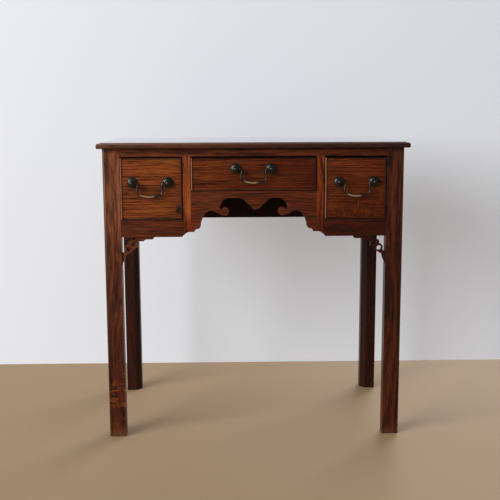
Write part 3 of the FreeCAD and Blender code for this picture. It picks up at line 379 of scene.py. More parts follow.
def waxed_oak(name, ends, streaks=1.2, flecks=0.0, fleck_tone=(0.42, 0.15, 0.04), rubbed=0.6,
              gloss=0.42, shine=0.2, coat=0.08, coat_gloss=0.2, knot=None):
    """Outside wood: coloured by age and painted light, filled with wax, rubbed on its edges, with
    dust and painted shade in corners.
    """
    made, tree, shader, group = start_material(name)
    dark, light = ends
    glow = colour(0.95 * light[0], 1.3 * light[1], 0.9 * light[2])
    oak = group(OAK, Dark=dark, Light=light, Fleck=colour(*fleck_tone), Glow=glow,
                Streaks=streaks, Flecks=flecks)
    worn = group(WEAR, Amount=rubbed)["Worn"]
    dust_and_shade = group(DUST_AND_SHADE, Amount=0.95)["Grime"]
    if knot:
        dust_and_shade = maths(tree, "MAXIMUM", dust_and_shade, group(KNOT, Place=knot, Size=KNOT_SIZE)["Knot"])
    oak_colour(tree, shader, oak, worn, dust_and_shade, BARE_AND_HIGHLIGHT_OAK)
    rough = maths(tree, "ADD", maths(tree, "MULTIPLY", oak["Pore mask"], PORES_ROUGHER), gloss)
    rough = maths(tree, "ADD", rough, maths(tree, "MULTIPLY", dust_and_shade, DUST_AND_SHADE_ROUGHER))
    smooth = maths(tree, "MULTIPLY", oak["Fleck mask"], FLECKS_SMOOTHER)
    rough = maths(tree, "SUBTRACT", rough, smooth, clamp=True)
    relief(tree, shader, rough, oak["Height"], strength=0.5, depth=0.3 * MM)
    shader.inputs["Specular IOR Level"].default_value = shine
    shader.inputs["Coat Weight"].default_value = coat
    shader.inputs["Coat Roughness"].default_value = coat_gloss
    shader.inputs["Coat IOR"].default_value = 1.4
    return made


def dry_oak(name, ends, gloss=0.72, soot_and_shade=0.85, reach=0.12):
    """Inside wood: planed, never polished, with dust and painted shade in its corners."""
    made, tree, shader, group = start_material(name)
    dark, light = ends
    oak = group(OAK, Dark=dark, Light=light, Fleck=light, Glow=light, Streaks=0.7, Pores=0.5)
    worn = group(WEAR, Amount=0.4)["Worn"]
    dust_and_shade = group(DUST_AND_SHADE, Amount=soot_and_shade, Reach=reach)["Grime"]
    oak_colour(tree, shader, oak, worn, dust_and_shade, colour(*(1.15 * part for part in light[:3])))
    rough = maths(tree, "ADD", maths(tree, "MULTIPLY", oak["Pore mask"], 0.15), gloss, clamp=True)
    relief(tree, shader, rough, oak["Height"], strength=0.6, depth=0.4 * MM)
    shader.inputs["Specular IOR Level"].default_value = 0.2
    return made


# %% The finishes of the wood, by the slots of the record
FINISH = {
    "oak_top": waxed_oak("Top oak", shades(0.12, 0.043, 0.017), rubbed=0.9, gloss=0.2,
                         shine=0.15, coat=1.0, coat_gloss=0.07),
    "oak_legs": waxed_oak("Leg oak", shades(0.155, 0.043, 0.016, 0.8),
                          streaks=1.15, fleck_tone=(0.72, 0.25, 0.04)),
    "oak_case": waxed_oak("Carcass oak", shades(0.165, 0.041, 0.013, 0.8), shine=0.15, coat=0.06),
    "oak_apron": waxed_oak("Apron oak", shades(0.165, 0.034, 0.0065, 0.8), rubbed=1.0),
    "oak_drawer_fronts": waxed_oak("Drawer oak", shades(0.165, 0.036, 0.0065, 0.8),
                                   flecks=0.05, fleck_tone=(0.27, 0.085, 0.02), gloss=0.38,
                                   shine=0.13, coat=0.05, knot=KNOT_PLACE),
    "oak_beads": waxed_oak("Bead oak", shades(0.12, 0.04, 0.018), rubbed=0.3, gloss=0.33,
                           shine=0.2, coat=0.05),
    "oak_pegs": waxed_oak("Peg oak", shades(0.08, 0.025, 0.012)),
    # the inner work and the back are dark and darkened far into their corners: painted shade for the
    # inside of the case; the linings get a little of it
    "oak_drawer_linings": dry_oak("Lining oak", shades(0.33, 0.185, 0.088, 0.38), soot_and_shade=0.3),
    "oak_inner_work": dry_oak("Inner oak", shades(0.09, 0.055, 0.03, 0.45), soot_and_shade=0.95, reach=0.3),
    "oak_back": dry_oak("Back oak", shades(0.13, 0.075, 0.042, 0.5), soot_and_shade=1.0, reach=0.3),
}
# the uprights between the drawers were cut from a brighter board
BRIGHT_BOARD = waxed_oak("Divider oak", shades(0.29, 0.067, 0.013, 0.8), streaks=1.3,
                         shine=0.13, coat=0.05)
OWN_FINISH = {"divider_left": BRIGHT_BOARD, "divider_right": BRIGHT_BOARD}
print("wood finishes:", len(FINISH))

# %% [markdown]
# ## Old brass
# The handles were cast and turned in brass, and have gone almost black, except where fingers
# polish them.  The metal is one Principled BSDF; the colour goes from patina to bare brass by an
# attribute that each handle piece brings, called `rubbed`, broken up by noise.  On the bails and
# the balls of the posts it also carries a painted highlight.


# %% The finishes of the brass
BLACK_SKIN = colour(0.01, 0.009, 0.007)


def old_brass(name, patina, bare, dull=0.3, bright=0.2):
    """Cast brass with a dark skin that is rubbed through where the piece is handled, and bright
    where a highlight is painted.
    """
    made, tree, shader, group = start_material(name)
    place = add(tree, "ShaderNodeTexCoord").outputs["Object"]
    rubbed = add(tree, "ShaderNodeAttribute", attribute_name="rubbed").outputs["Fac"]
    patch = cloud(tree, place, 260.0, 4.0, 0.6)
    uneven = maths(tree, "SUBTRACT", patch, 0.5)
    bare_and_highlight = maths(tree, "ADD", rubbed, maths(tree, "MULTIPLY", uneven, 0.9))
    bare_and_highlight = maths(tree, "MULTIPLY", ramped(tree, bare_and_highlight, 0.3, 0.95), ramped(tree, rubbed, 0.0, 0.2))
    edge = group(WEAR, Width=0.0006, Amount=0.3)["Worn"]
    bare_and_highlight = maths(tree, "MAXIMUM", bare_and_highlight, edge)
    skin = blended(tree, cloud(tree, place, 120.0), patina,
                   colour(*(1.7 * part for part in patina[:3])))
    metal = blended(tree, bare_and_highlight, skin, bare)
    dust_and_shade = group(DUST_AND_SHADE, Reach=0.004, Amount=0.9)["Grime"]
    metal = blended(tree, dust_and_shade, metal, BLACK_SKIN)
    rough = ramped(tree, bare_and_highlight, 0.0, 1.0, dull, bright)
    rough = maths(tree, "ADD", rough, maths(tree, "MULTIPLY", uneven, 0.25), clamp=True)
    tree.links.new(metal, shader.inputs["Base Color"])
    relief(tree, shader, rough, patch, strength=0.25, depth=0.2 * MM)
    shader.inputs["Metallic"].default_value = 0.85
    return made


FINISH["handle_brass"] = old_brass("Handle brass", colour(0.031, 0.031, 0.028),
                                   colour(0.74, 0.54, 0.27))
FINISH["nut_brass"] = old_brass("Nut brass", colour(0.16, 0.12, 0.06), colour(0.5, 0.36, 0.16),
                                dull=0.55)
print("wood and brass finishes:", len(FINISH))

# %% [markdown]
# ## Softened boards
# A board from a hand plane has flat faces but no sharp arris: the maker breaks each edge with one
# stroke, and use rounds it further.  The CAD mesh has the right shape with hard edges, so a copy
# of it is merged, its flat triangles are joined, and its outer edges are bevelled by half a
# millimetre or so, and a slow wave of about a tenth of a millimetre runs over its faces, as the
# plane left them.  Weighted normals keep the faces flat to the eye.  Then each solid in the copy
# gets its place in a log: the grain runs along its longest side, the middle of the tree lies off
# to one side, and a fixed seed makes each board come from another stretch of timber.

# %% Reading a CAD mesh
RECORD_SLOTS = {row["node"]: row["material_slot"] for row in frame["record"]["subparts"]}
BODY_OF = {name: node["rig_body"] for name, node in NODES.items()}
MERGE = 0.001 * MM
FLAT = math.radians(0.8)


def extent(vertices):
    """Lowest and highest corner of some vertices."""
    low = Vector(min(v.co[axis] for v in vertices) for axis in range(3))
    high = Vector(max(v.co[axis] for v in vertices) for axis in range(3))
    return low, high


def islands(work):
    """The separate solids of a bmesh, each a list of its vertices, sorted by their low corners."""
    seen = set()
    found = []
    for start in work.verts:
        if start.index in seen:
            continue
        seen.add(start.index)
        reached = [start]
        for vertex in reached:
            for edge in vertex.link_edges:
                other = edge.other_vert(vertex)
                if other.index not in seen:
                    seen.add(other.index)
                    reached.append(other)
        found.append(reached)
    return sorted(found, key=lambda solid: [round(part, 5) for part in extent(solid)[0]])


def merged(node):
    """A CAD node as a closed bmesh: doubles merged and flat triangles joined."""
    work = bmesh.new()
    work.from_mesh(NODES[node].data)
    bmesh.ops.remove_doubles(work, verts=work.verts, dist=MERGE)
    bmesh.ops.dissolve_limit(work, angle_limit=FLAT, verts=work.verts, edges=work.edges)
    work.verts.index_update()
    return work


# %% The place in the log
SEED = 1760
# a board is sawn this far from the middle of its tree, at its edge and through its thickness
PITH_BESIDE = (0.05, 0.12)
PITH_THROUGH = (-0.03, 0.03)
LOG_LENGTH = 9
LEVELS = (0.94, 1.06)


def there(amount, spot):
    """An amount at a place: either the same everywhere, or a function of the place."""
    return amount(spot) if callable(amount) else amount


def lay_in_log(work, name, grain=None, tone=1.0, figure=0.0, rubbed=0.0):
    """Writes each vertex's place in the log, its tone and painted light, its figure, and its wear
    and painted highlight.

    The last three are numbers, or functions of the place on the object.
    """
    dice = random.Random("%d %s" % (SEED, name))
    place = work.verts.layers.float_vector.new("log_place")
    shade = work.verts.layers.float.new("tone_and_light")
    figured = work.verts.layers.float.new("figure")
    # the rubbed numbers hold real wear and painted highlights
    handled = work.verts.layers.float.get("rubbed") or work.verts.layers.float.new("rubbed")
    work.verts.index_update()
    for solid in islands(work):
        low, high = extent(solid)
        size = high - low
        along = "XYZ".index(grain) if grain else max(range(3), key=lambda axis: size[axis])
        across = sorted((axis for axis in range(3) if axis != along), key=lambda axis: size[axis])
        thin, wide = across
        middle = (low + high) / 2
        pith_wide = (size[wide] / 2 + dice.uniform(*PITH_BESIDE)) * dice.choice((-1, 1))
        pith_thin = dice.uniform(*PITH_THROUGH)
        start = dice.uniform(0, LOG_LENGTH)
        level = dice.uniform(*LEVELS)
        for vertex in solid:
            spot = vertex.co - middle
            vertex[place] = (spot[along] + start, spot[wide] - pith_wide, spot[thin] - pith_thin)
            vertex[shade] = level * there(tone, vertex.co)
            vertex[figured] = there(figure, vertex.co)
            vertex[handled] = there(rubbed, vertex.co)


# %% From a worked mesh to a piece
ROUND = math.radians(40)


def stand_for(piece, node):
    """Lets a piece ride on a CAD node's body in the node's stead, and hides the node."""
    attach(piece, BODY_OF[node])
    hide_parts(node)


def finished(name, work, node):
    """Turns a bmesh into the piece that stands for a CAD node and rides on its body."""
    mesh = bpy.data.meshes.new(name)
    work.to_mesh(mesh)
    work.free()
    mesh.shade_smooth()
    piece = bpy.data.objects.new(name, mesh)
    bpy.context.scene.collection.objects.link(piece)
    mesh.materials.append(OWN_FINISH.get(node, FINISH[RECORD_SLOTS[node]]))
    weighted = piece.modifiers.new("Flat faces", "WEIGHTED_NORMAL")
    weighted.keep_sharp = True
    mesh.set_sharp_from_angle(angle=ROUND)
    bpy.context.view_layer.update()
    final = bpy.data.meshes.new_from_object(
        piece.evaluated_get(bpy.context.evaluated_depsgraph_get()))
    piece.modifiers.clear()
    piece.data = final
    final.name = name
    bpy.data.meshes.remove(mesh)
    stand_for(piece, node)
    return piece


# %% Boards with broken arrises
SHARP = math.radians(28)
ARRIS, FINE_ARRIS = 0.6 * MM, 0.3 * MM
ARRIS_STEPS = 2
WAVES_PER_METRE = 9.0
# without a seed of its own, the noise of the waves would be another one in each run
noise.seed_set(SEED)
# a wall that the fretsaw cut has a normal that leans less than this towards the board's face
SAWN_LEAN = 0.3


def sliced(work, low, high, spacing):
    """Cuts a closed mesh across, so that numbers on its vertices can change along it."""
    for axis in range(3):
        length = high[axis] - low[axis]
        count = int(length / spacing)
        for number in range(1, count + 1):
            spot, across = Vector(), Vector()
            spot[axis] = low[axis] + length * number / (count + 1)
            across[axis] = 1.0
            bmesh.ops.bisect_plane(work, geom=work.verts[:] + work.edges[:] + work.faces[:],
                                   plane_co=spot, plane_no=across, dist=MERGE)


def pared(work, by):
    """Thins pierced work: every wall that the fretsaw cut goes back a little."""
    work.normal_update()
    shifts = {}
    for vertex in work.verts:
        cut = [face.normal for face in vertex.link_faces if abs(face.normal.y) < SAWN_LEAN]
        total = sum(cut, Vector())
        # the normals of two opposite walls cancel, and such a vertex stays
        if total.length > 0.1:
            shifts[vertex] = -by * total.normalized()
    for vertex, shift in shifts.items():
        vertex.co += shift


def planed(work, node, low, high, depth):
    """Moves the vertices by a tenth of a millimetre or so, as a hand plane leaves a board."""
    # each node gets another stretch of the waves, told by the letters of its name
    shift = Vector((sum(map(ord, node)) % 97, 0, 0))
    for vertex in work.verts:
        moved = vertex.co + depth * noise.noise_vector(vertex.co * WAVES_PER_METRE + shift)
        vertex.co = [max(low[axis], min(high[axis], moved[axis])) for axis in range(3)]


def softened(node, arris, spacing, depth, pare, **log):
    """The wooden piece that stands for a CAD node: the same shape with broken arrises."""
    work = merged(node)
    pared(work, pare)
    outer = [edge for edge in work.edges
             if edge.is_manifold and edge.is_convex and edge.calc_face_angle() > SHARP]
    bmesh.ops.bevel(work, geom=outer, offset=arris, segments=ARRIS_STEPS, profile=0.5,
                    affect="EDGES", clamp_overlap=True)
    low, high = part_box(node)
    sliced(work, low, high, spacing)
    planed(work, node, low, high, depth)
    # cuts and the plane leave slivers where they pass an arris by a hair's breadth
    bmesh.ops.dissolve_degenerate(work, dist=10 * MERGE, edges=work.edges[:])
    lay_in_log(work, node, **log)
    return finished("oak_" + node, work, node)


# %% [markdown]
# ## How dark each board is, with painted light
# Each waxed board is painted palest on the left, the window's side, and darker towards the right:
# a painted fall-off of the window light.  On top of that each board has its own tone, and some
# tones carry painted light: the back legs are set very dark, partly darker wood and partly painted
# shade; the front legs grow brighter towards their tops as painted sheen, and their feet are paler
# where mops and shoes rub them; the top's nose carries a painted highlight; the uprights beside
# the drawers came from a paler plank.  All of it is written into the boards as numbers.


# %% Tones with painted light, figure, and rubbed places with painted highlights
def step(amount, low, high):
    """A smooth step from 0 to 1 while the amount goes from low to high."""
    share = max(0.0, min(1.0, (amount - low) / (high - low)))
    return share * share * (3 - 2 * share)


CASE_HALF = 0.36
FALLOFF_SHARE = 0.45


def painted_falloff(spot):
    """The share of its tone that a place keeps under the painted fall-off of the window light: all
    on the window's side, less on the other.
    """
    return 1.0 - FALLOFF_SHARE * (spot.x + CASE_HALF) / (2 * CASE_HALF)


TONE_AND_LIGHT = {
    # the top darkens to the right, a painted fall-off, and the top of its nose is brighter: a
    # painted highlight
    "top_board": lambda spot: (0.68 - 0.40 * step(spot.x, -0.30, 0.10)
                               + 0.32 * step(spot.z, 0.711, 0.716)),
    "top_rail": 0.71,
    # the front legs grow brighter towards their tops: painted sheen; their feet are paler where
    # scuffed
    "leg_front_left": lambda spot: painted_corner_shade(spot) * (
        0.37 + 0.20 * step(spot.z, 0.18, 0.34) + 0.65 * step(spot.z, 0.42, 0.60)
        + 0.5 * scuffed(spot)),
    "leg_front_right": lambda spot: painted_corner_shade(spot) * (
        0.63 - 0.10 * step(spot.z, 0.15, 0.30) + 0.22 * step(spot.z, 0.42, 0.60)
        + 0.5 * scuffed(spot)),
    # the back legs are set very dark: partly darker wood, partly painted shade
    "leg_back_left": 0.18, "leg_back_right": 0.24,
    # the back panel is darker on its inner side: painted shade inside the case
    "back_panel": lambda spot: 0.2 + 0.6 * step(spot.y, 0.192, 0.202),
    "bottom_rail_left": 0.54, "bottom_rail_right": 0.40,
    "divider_left": lambda spot: 0.40 + 0.60 * step(spot.z, 0.515, 0.575),
    "divider_right": lambda spot: 0.38 + 0.33 * step(spot.z, 0.515, 0.575),
    "apron": 0.68, "bracket_left": 0.7, "bracket_right": 0.3,
    "left_drawer_front": lambda spot: 1.0 + 0.12 * step(spot.z, 0.58, 0.66),
    "centre_drawer_front": lambda spot: 0.84 - 0.26 * step(spot.x, -0.15, 0.15),
    "right_drawer_front": lambda spot: 0.78 + 0.24 * step(spot.z, 0.58, 0.66),
}


def foot_figure(spot):
    """Ray figure a hand's breadth over the foot of the left front leg, fading out upwards."""
    return 0.25 + 0.75 * step(spot.z, 0.07, 0.10) - step(spot.z, 0.15, 0.20)


def scuffed(spot):
    """Mops and shoes have rubbed the last centimetre of a foot."""
    return 0.7 * (1.0 - step(spot.z, 0.004, 0.022))


def painted_corner_shade(spot):
    """Painted shade: a dark line along the outer side of the bead on a front leg's corner."""
    return 0.4 if abs(spot.x) > 0.3545 and spot.y < -0.1885 else 1.0


def bead_highlight_and_scuff(spot):
    """A painted highlight on the bead of the left front leg's outer corner, most of all high up, and
    a scuffed foot.
    """
    on_bead = -0.3545 < spot.x < -0.3505 and spot.y < -0.1905
    return max(scuffed(spot), 0.55 * on_bead * step(spot.z, 0.1, 0.5))


def low_figure(spot):
    """Ray figure in the lower half of the right drawer's front."""
    return 0.65 - 0.65 * step(spot.z, 0.59, 0.64)


def painted_nose_highlight(spot):
    """A painted highlight along the top half of the rounded front edge of the top, fading out
    towards the middle.
    """
    edge = step(spot.z, 0.7145, 0.7180) * (1 - step(spot.y, -0.2085, -0.2055))
    return edge * (0.75 - 0.7 * step(spot.x, -0.36, 0.0))


GRAIN = {"left_drawer_front": "X", "right_drawer_front": "X", "centre_drawer_front": "X",
         "bracket_left": "X", "bracket_right": "X"}
FIGURE = {"leg_front_left": foot_figure, "right_drawer_front": low_figure}
RUBBED_AND_HIGHLIGHT = {"top_board": painted_nose_highlight, "leg_front_left": bead_highlight_and_scuff, "leg_front_right": scuffed,
          "leg_back_left": scuffed, "leg_back_right": scuffed}
SPACING = {"oak_legs": 18 * MM, "oak_drawer_fronts": 30 * MM,
           "divider_left": 12 * MM, "divider_right": 12 * MM}
BOARD_SPACING = 60 * MM
WAVE, TOP_WAVE = 0.12 * MM, 0.25 * MM
FRET_PARE = 0.5 * MM
WAXED = ("oak_top", "oak_legs", "oak_case", "oak_apron", "oak_drawer_fronts")
WAXED_TONE, DRY_TONE = 0.55, 1.0
BOARDS = sorted(name for name in NODES if RECORD_SLOTS[name].startswith("oak")
                and "cock_bead" not in name and name != "joint_pegs")


def tone_of(node):
    """The tone of a node's boards: only the waxed ones, which the window reaches, get the painted
    fall-off of its light.
    """
    if RECORD_SLOTS[node] not in WAXED:
        return TONE_AND_LIGHT.get(node, DRY_TONE)
    level = TONE_AND_LIGHT.get(node, WAXED_TONE)
    return lambda spot: there(level, spot) * painted_falloff(spot)


# %% All the boards
for name in BOARDS:
    softened(name, FINE_ARRIS if name.startswith("leg_front") else ARRIS,
             spacing=SPACING.get(name, SPACING.get(RECORD_SLOTS[name], BOARD_SPACING)),
             depth=TOP_WAVE if name == "top_board" else WAVE,
             pare=FRET_PARE if "bracket" in name else 0.0, grain=GRAIN.get(name),
             tone=tone_of(name), figure=FIGURE.get(name, 0.0), rubbed=RUBBED_AND_HIGHLIGHT.get(name, 0.0))
print("softened boards:", len(BOARDS))

# %% [markdown]
# ## Cock beads
# A cock bead is a thin strip glued into a rebate round a drawer front, with a rounded nose that
# stands proud of it and takes the knocks.  Each drawer has four strips, mitred where they meet.
# The strip is built section by section along its length, so that its nose can be worn a little
# more in some places than in others, and each strip keeps its own grain.  Each strip also carries
# painted light: the dark strips at the right and the top are painted shade of the gaps, and the
# pale left ones carry a painted highlight on their noses.

# %% A strip of cock bead
BEAD_WIDTH = 3.2 * MM
BEAD_NOSE_POINTS = 7
BEAD_STEP = 5 * MM
BEAD_WEAR = 0.45 * MM


def numbers_on(work, *labels):
    """The layers of numbers on a mesh's vertices, by their labels."""
    return [work.verts.layers.float.get(label) for label in labels]


def bead_section(width, back, shoulder, nose):
    """Outline of a strip: how far inwards each point lies, and its Y."""
    half = width / 2
    points = [(0.0, back), (0.0, shoulder)]
    for number in range(1, BEAD_NOSE_POINTS):
        turn = math.pi * number / BEAD_NOSE_POINTS
        points.append((half - half * math.cos(turn), shoulder - (shoulder - nose) * math.sin(turn)))
    return points + [(width, shoulder), (width, back)]


def bead_strip(work, start, end, inward, section, worn):
    """One strip from corner to corner, its ends cut at 45 degrees."""
    shade, handled = numbers_on(work, "strip tone and light", "rubbed")
    tone, bare, gap_shade_share = worn
    length = (end - start).length
    ahead = (end - start).normalized()
    width = section[-1][0]
    count = max(2, round(length / BEAD_STEP))
    rows = []
    for number in range(count + 1):
        share = number / count
        row = []
        for depth, y in section:
            spot = start + inward * depth + ahead * (depth + share * (length - 2 * depth))
            proud = 1 - abs(2 * depth / width - 1)
            wear = BEAD_WEAR * max(0.0, noise.noise(spot * 55.0) - 0.1) * proud
            made = work.verts.new((spot.x, y + wear, spot.z))
            # the darker gap side of a strip is painted shade; a bare nose on a left strip is a
            # painted highlight
            made[shade] = tone * (gap_shade_share + (1 - gap_shade_share) * step(depth / width, 0.1, 0.6))
            made[handled] = bare * proud ** 0.5
            row.append(made)
        rows.append(row)
    for near, far in zip(rows, rows[1:]):
        for number in range(len(section)):
            following = (number + 1) % len(section)
            work.faces.new((near[number], near[following], far[following], far[number]))
    work.faces.new(rows[0][::-1])
    work.faces.new(rows[-1])


# %% Cock beads
def cock_beads(node, drawer_front, strip_light_and_wear):
    """The four strips round a drawer front."""
    low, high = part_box(node)
    face_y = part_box(drawer_front)[0].y
    nose, back = low.y, high.y
    section = bead_section(BEAD_WIDTH, back, nose + BEAD_WIDTH / 2, nose)
    corners = [Vector((low.x, 0, low.z)), Vector((high.x, 0, low.z)),
               Vector((high.x, 0, high.z)), Vector((low.x, 0, high.z))]
    work = bmesh.new()
    for label in ("strip tone and light", "rubbed"):
        work.verts.layers.float.new(label)
    for number, corner in enumerate(corners):
        following = corners[(number + 1) % 4]
        ahead = (following - corner).normalized()
        bead_strip(work, corner, following, Vector((-ahead.z, 0, ahead.x)), section,
                   strip_light_and_wear[number])
    bmesh.ops.recalc_face_normals(work, faces=work.faces)
    shade, handled = numbers_on(work, "strip tone and light", "rubbed")
    kept = [(vertex[shade], vertex[handled]) for vertex in work.verts]
    # the log gives the strips their grain; the tone, painted light and wear of each are put back
    # after it, with the painted fall-off of the window light over the tone
    lay_in_log(work, node)
    shade, handled = numbers_on(work, "tone_and_light", "rubbed")
    for vertex, (level, rubbed) in zip(work.verts, kept):
        vertex[shade] = level * painted_falloff(vertex.co)
        vertex[handled] = rubbed
    piece = finished("oak_" + node, work, node)
    print(piece.name, "stands", round((face_y - nose) / MM, 2), "mm proud")


# bottom, right, top and left strip: tone, how bare its nose is, and what is left of the tone on
# the side towards the gap; the dark right and top strips and the dark gap sides are painted shade
# of the gaps, and the pale, bare left strips carry a painted highlight
STRIP_LIGHT_AND_WEAR = {
    "left": ((0.6, 0.1, 0.6), (0.22, 0.05, 0.2), (0.6, 0.2, 0.15), (1.15, 0.9, 1.0)),
    "centre": ((0.6, 0.1, 0.6), (0.16, 0.05, 0.1), (0.22, 0.05, 0.1), (1.5, 0.95, 1.0)),
    "right": ((0.6, 0.1, 0.6), (0.25, 0.05, 0.2), (0.12, 0.02, 0.1), (2.1, 0.9, 0.6)),
}
for side in ("left", "centre", "right"):
    cock_beads(side + "_drawer_cock_bead", side + "_drawer_front", STRIP_LIGHT_AND_WEAR[side])

# %% [markdown]
# ## Turned pieces by Geometry Nodes
# Roses, posts, nuts and pegs repeat all over the piece, and each is an outline turned round an
# axis: a round rose has many sides, a riven peg eight, a filed nut four.  One node tree does
# them all.  It bends a grid round the outline, which is a small curve made here, and sets a copy
# at every place it is given, facing the way that the place says.  The places come from the CAD
# solids, so nothing is placed by hand.


# %% The tree for turned pieces
def make_turned_tree():
    tree, inlet, outlet = new_group(
        "Turned pieces", "GeometryNodeTree",
        (("Places", "Geometry", None), ("Outline", "Object", None), ("Sides", "Int", 40),
         ("Rows", "Int", 48), ("Loose turn", "Float", 0.0), ("Rub start", "Float", 0.0),
         ("Rub end", "Float", 1.0), ("Rub", "Float", 0.0), ("Seed", "Int", 3),
         ("Finish", "Material", None)),
        (("Pieces", "Geometry"),))
    take = inlet.outputs
    columns = maths(tree, "ADD", take["Sides"], 1.0)
    grid = add(tree, "GeometryNodeMeshGrid", {"Size X": 1.0, "Size Y": 1.0, "Vertices X": columns,
                                              "Vertices Y": take["Rows"]})
    spot = add(tree, "GeometryNodeInputPosition").outputs[0]
    x, y, _ = add(tree, "ShaderNodeSeparateXYZ", {0: spot}).outputs
    outline = add(tree, "GeometryNodeObjectInfo", {"Object": take["Outline"]}).outputs["Geometry"]
    sample = add(tree, "GeometryNodeSampleCurve", {"Curves": outline,
                                                   "Factor": maths(tree, "ADD", y, 0.5)},
                 mode="FACTOR", use_all_curves=True).outputs["Position"]
    radius, forward, _ = add(tree, "ShaderNodeSeparateXYZ", {0: sample}).outputs
    angle = maths(tree, "MULTIPLY", x, math.tau)
    bent = add(tree, "ShaderNodeCombineXYZ", {
        "X": maths(tree, "MULTIPLY", radius, maths(tree, "COSINE", angle)),
        "Y": maths(tree, "MULTIPLY", radius, maths(tree, "SINE", angle)), "Z": forward})
    turned = add(tree, "GeometryNodeSetPosition", {"Geometry": grid.outputs["Mesh"],
                                                   "Position": bent.outputs[0]})
    spot = add(tree, "GeometryNodeInputPosition").outputs[0]
    height = add(tree, "ShaderNodeSeparateXYZ", {0: spot}).outputs["Z"]
    rub = add(tree, "ShaderNodeMapRange", {"Value": height, "From Min": take["Rub start"],
                                           "From Max": take["Rub end"], "To Max": take["Rub"]})
    stored = add(tree, "GeometryNodeStoreNamedAttribute",
                 {"Geometry": turned.outputs[0], "Name": "rubbed", "Value": rub.outputs[0]},
                 data_type="FLOAT", domain="POINT")
    joined = add(tree, "GeometryNodeMergeByDistance", {"Geometry": stored.outputs[0],
                                                       "Distance": 0.01 * MM})
    facing = add(tree, "GeometryNodeInputNamedAttribute", {"Name": "facing"},
                 data_type="FLOAT_VECTOR").outputs["Attribute"]
    aligned = add(tree, "FunctionNodeAlignRotationToVector", {"Vector": facing}, axis="Z")
    turn = add(tree, "FunctionNodeRandomValue", {"Seed": take["Seed"]}, data_type="FLOAT")
    spread = maths(tree, "SUBTRACT", turn.outputs[1], 0.5)
    spin = add(tree, "ShaderNodeCombineXYZ", {
        "Z": maths(tree, "MULTIPLY", spread, take["Loose turn"])})
    spun = add(tree, "FunctionNodeRotateRotation", {"Rotation": aligned.outputs[0],
                                                    "Rotate By": spin.outputs[0]},
               rotation_space="LOCAL")
    placed = add(tree, "GeometryNodeInstanceOnPoints", {"Points": take["Places"],
                                                        "Instance": joined.outputs[0],
                                                        "Rotation": spun.outputs[0]})
    real = add(tree, "GeometryNodeRealizeInstances", {0: placed.outputs[0]})
    done = add(tree, "GeometryNodeSetMaterial", {"Geometry": real.outputs[0],
                                                 "Material": take["Finish"]})
    give(tree, outlet, Pieces=done.outputs[0])
    return tree


TURNED = make_turned_tree()
print("tree for turned pieces:", len(TURNED.nodes), "nodes")


# %% From a tree to a plain mesh
def grown(name, base, tree, values):
    """A plain mesh object grown by a tree from a base mesh; the modifier doesn't stay."""
    piece = bpy.data.objects.new(name, base)
    bpy.context.scene.collection.objects.link(piece)
    modifier = piece.modifiers.new(tree.name, "NODES")
    modifier.node_group = tree
    for socket in tree.interface.items_tree:
        if socket.item_type == "SOCKET" and socket.name in values:
            modifier[socket.identifier] = values[socket.name]
    graph = bpy.context.evaluated_depsgraph_get()
    final = bpy.data.meshes.new_from_object(piece.evaluated_get(graph), depsgraph=graph,
                                            preserve_all_data_layers=True)
    piece.modifiers.clear()
    piece.data = final
    final.name = name
    bpy.data.meshes.remove(base)
    return piece


def outward(piece):
    """Turns every face of a piece outwards and shades it smooth where it is round."""
    work = bmesh.new()
    work.from_mesh(piece.data)
    bmesh.ops.recalc_face_normals(work, faces=work.faces)
    work.to_mesh(piece.data)
    work.free()
    piece.data.shade_smooth()
    piece.data.set_sharp_from_angle(angle=ROUND)
    return piece


def outline_curve(points):
    """An outline in radius and height, in millimetres: a bare pair is a smooth point."""
    data = bpy.data.curves.new("outline", "CURVE")
    data.dimensions = "3D"
    spline = data.splines.new("BEZIER")
    spline.bezier_points.add(len(points) - 1)
    spline.resolution_u = 12
    for made, (radius, height, *corner) in zip(spline.bezier_points, points):
        made.co = (radius * MM, height * MM, 0)
        made.handle_left_type = made.handle_right_type = "VECTOR" if corner else "AUTO"
    made = bpy.data.objects.new("outline", data)
    bpy.context.scene.collection.objects.link(made)
    return made


def solid_places(node, level, facing=None):
    """A point mesh with one point per solid of a CAD node, and the way each faces.

    level puts a point on its solid's box: 0 at the low end of the long axis, 1 at the high one.
    """
    work = merged(node)
    spots, ways = [], []
    for solid in islands(work):
        low, high = extent(solid)
        size = high - low
        axis = max(range(3), key=lambda number: size[number])
        way = Vector(facing) if facing else Vector([float(number == axis) for number in range(3)])
        axis = max(range(3), key=lambda number: abs(way[number]))
        spot = (low + high) / 2
        spot[axis] = low[axis] + level * size[axis]
        spots.append(spot)
        ways.append(way)
    work.free()
    mesh = bpy.data.meshes.new("places")
    mesh.from_pydata(spots, [], [])
    attribute = mesh.attributes.new("facing", "FLOAT_VECTOR", "POINT")
    for number, way in enumerate(ways):
        attribute.data[number].vector = way
    return mesh


def turned(name, node, places, outline, **values):
    """Copies of a turned outline that stand for the solids of a CAD node."""
    curve = outline_curve(outline)
    values = {label.replace("_", " "): content for label, content in values.items()}
    piece = grown(name, places, TURNED, {"Outline": curve, "Finish": FINISH[RECORD_SLOTS[node]],
                                         **values})
    bpy.data.objects.remove(curve)
    return outward(piece)


# %% [markdown]
# ## Roses, posts and nuts
# Each handle hangs from two posts: a ball that holds the end of the bail, on a shank that goes
# through the drawer front to a square nut.  A domed rose covers the hole.  Roses and nuts are
# rings with a closed outline, and a post's outline runs from axis to axis.  Heights of roses and
# posts start at the drawer's face and grow towards the user; those of nuts start at the inner
# side of the drawer's front and grow towards the back.

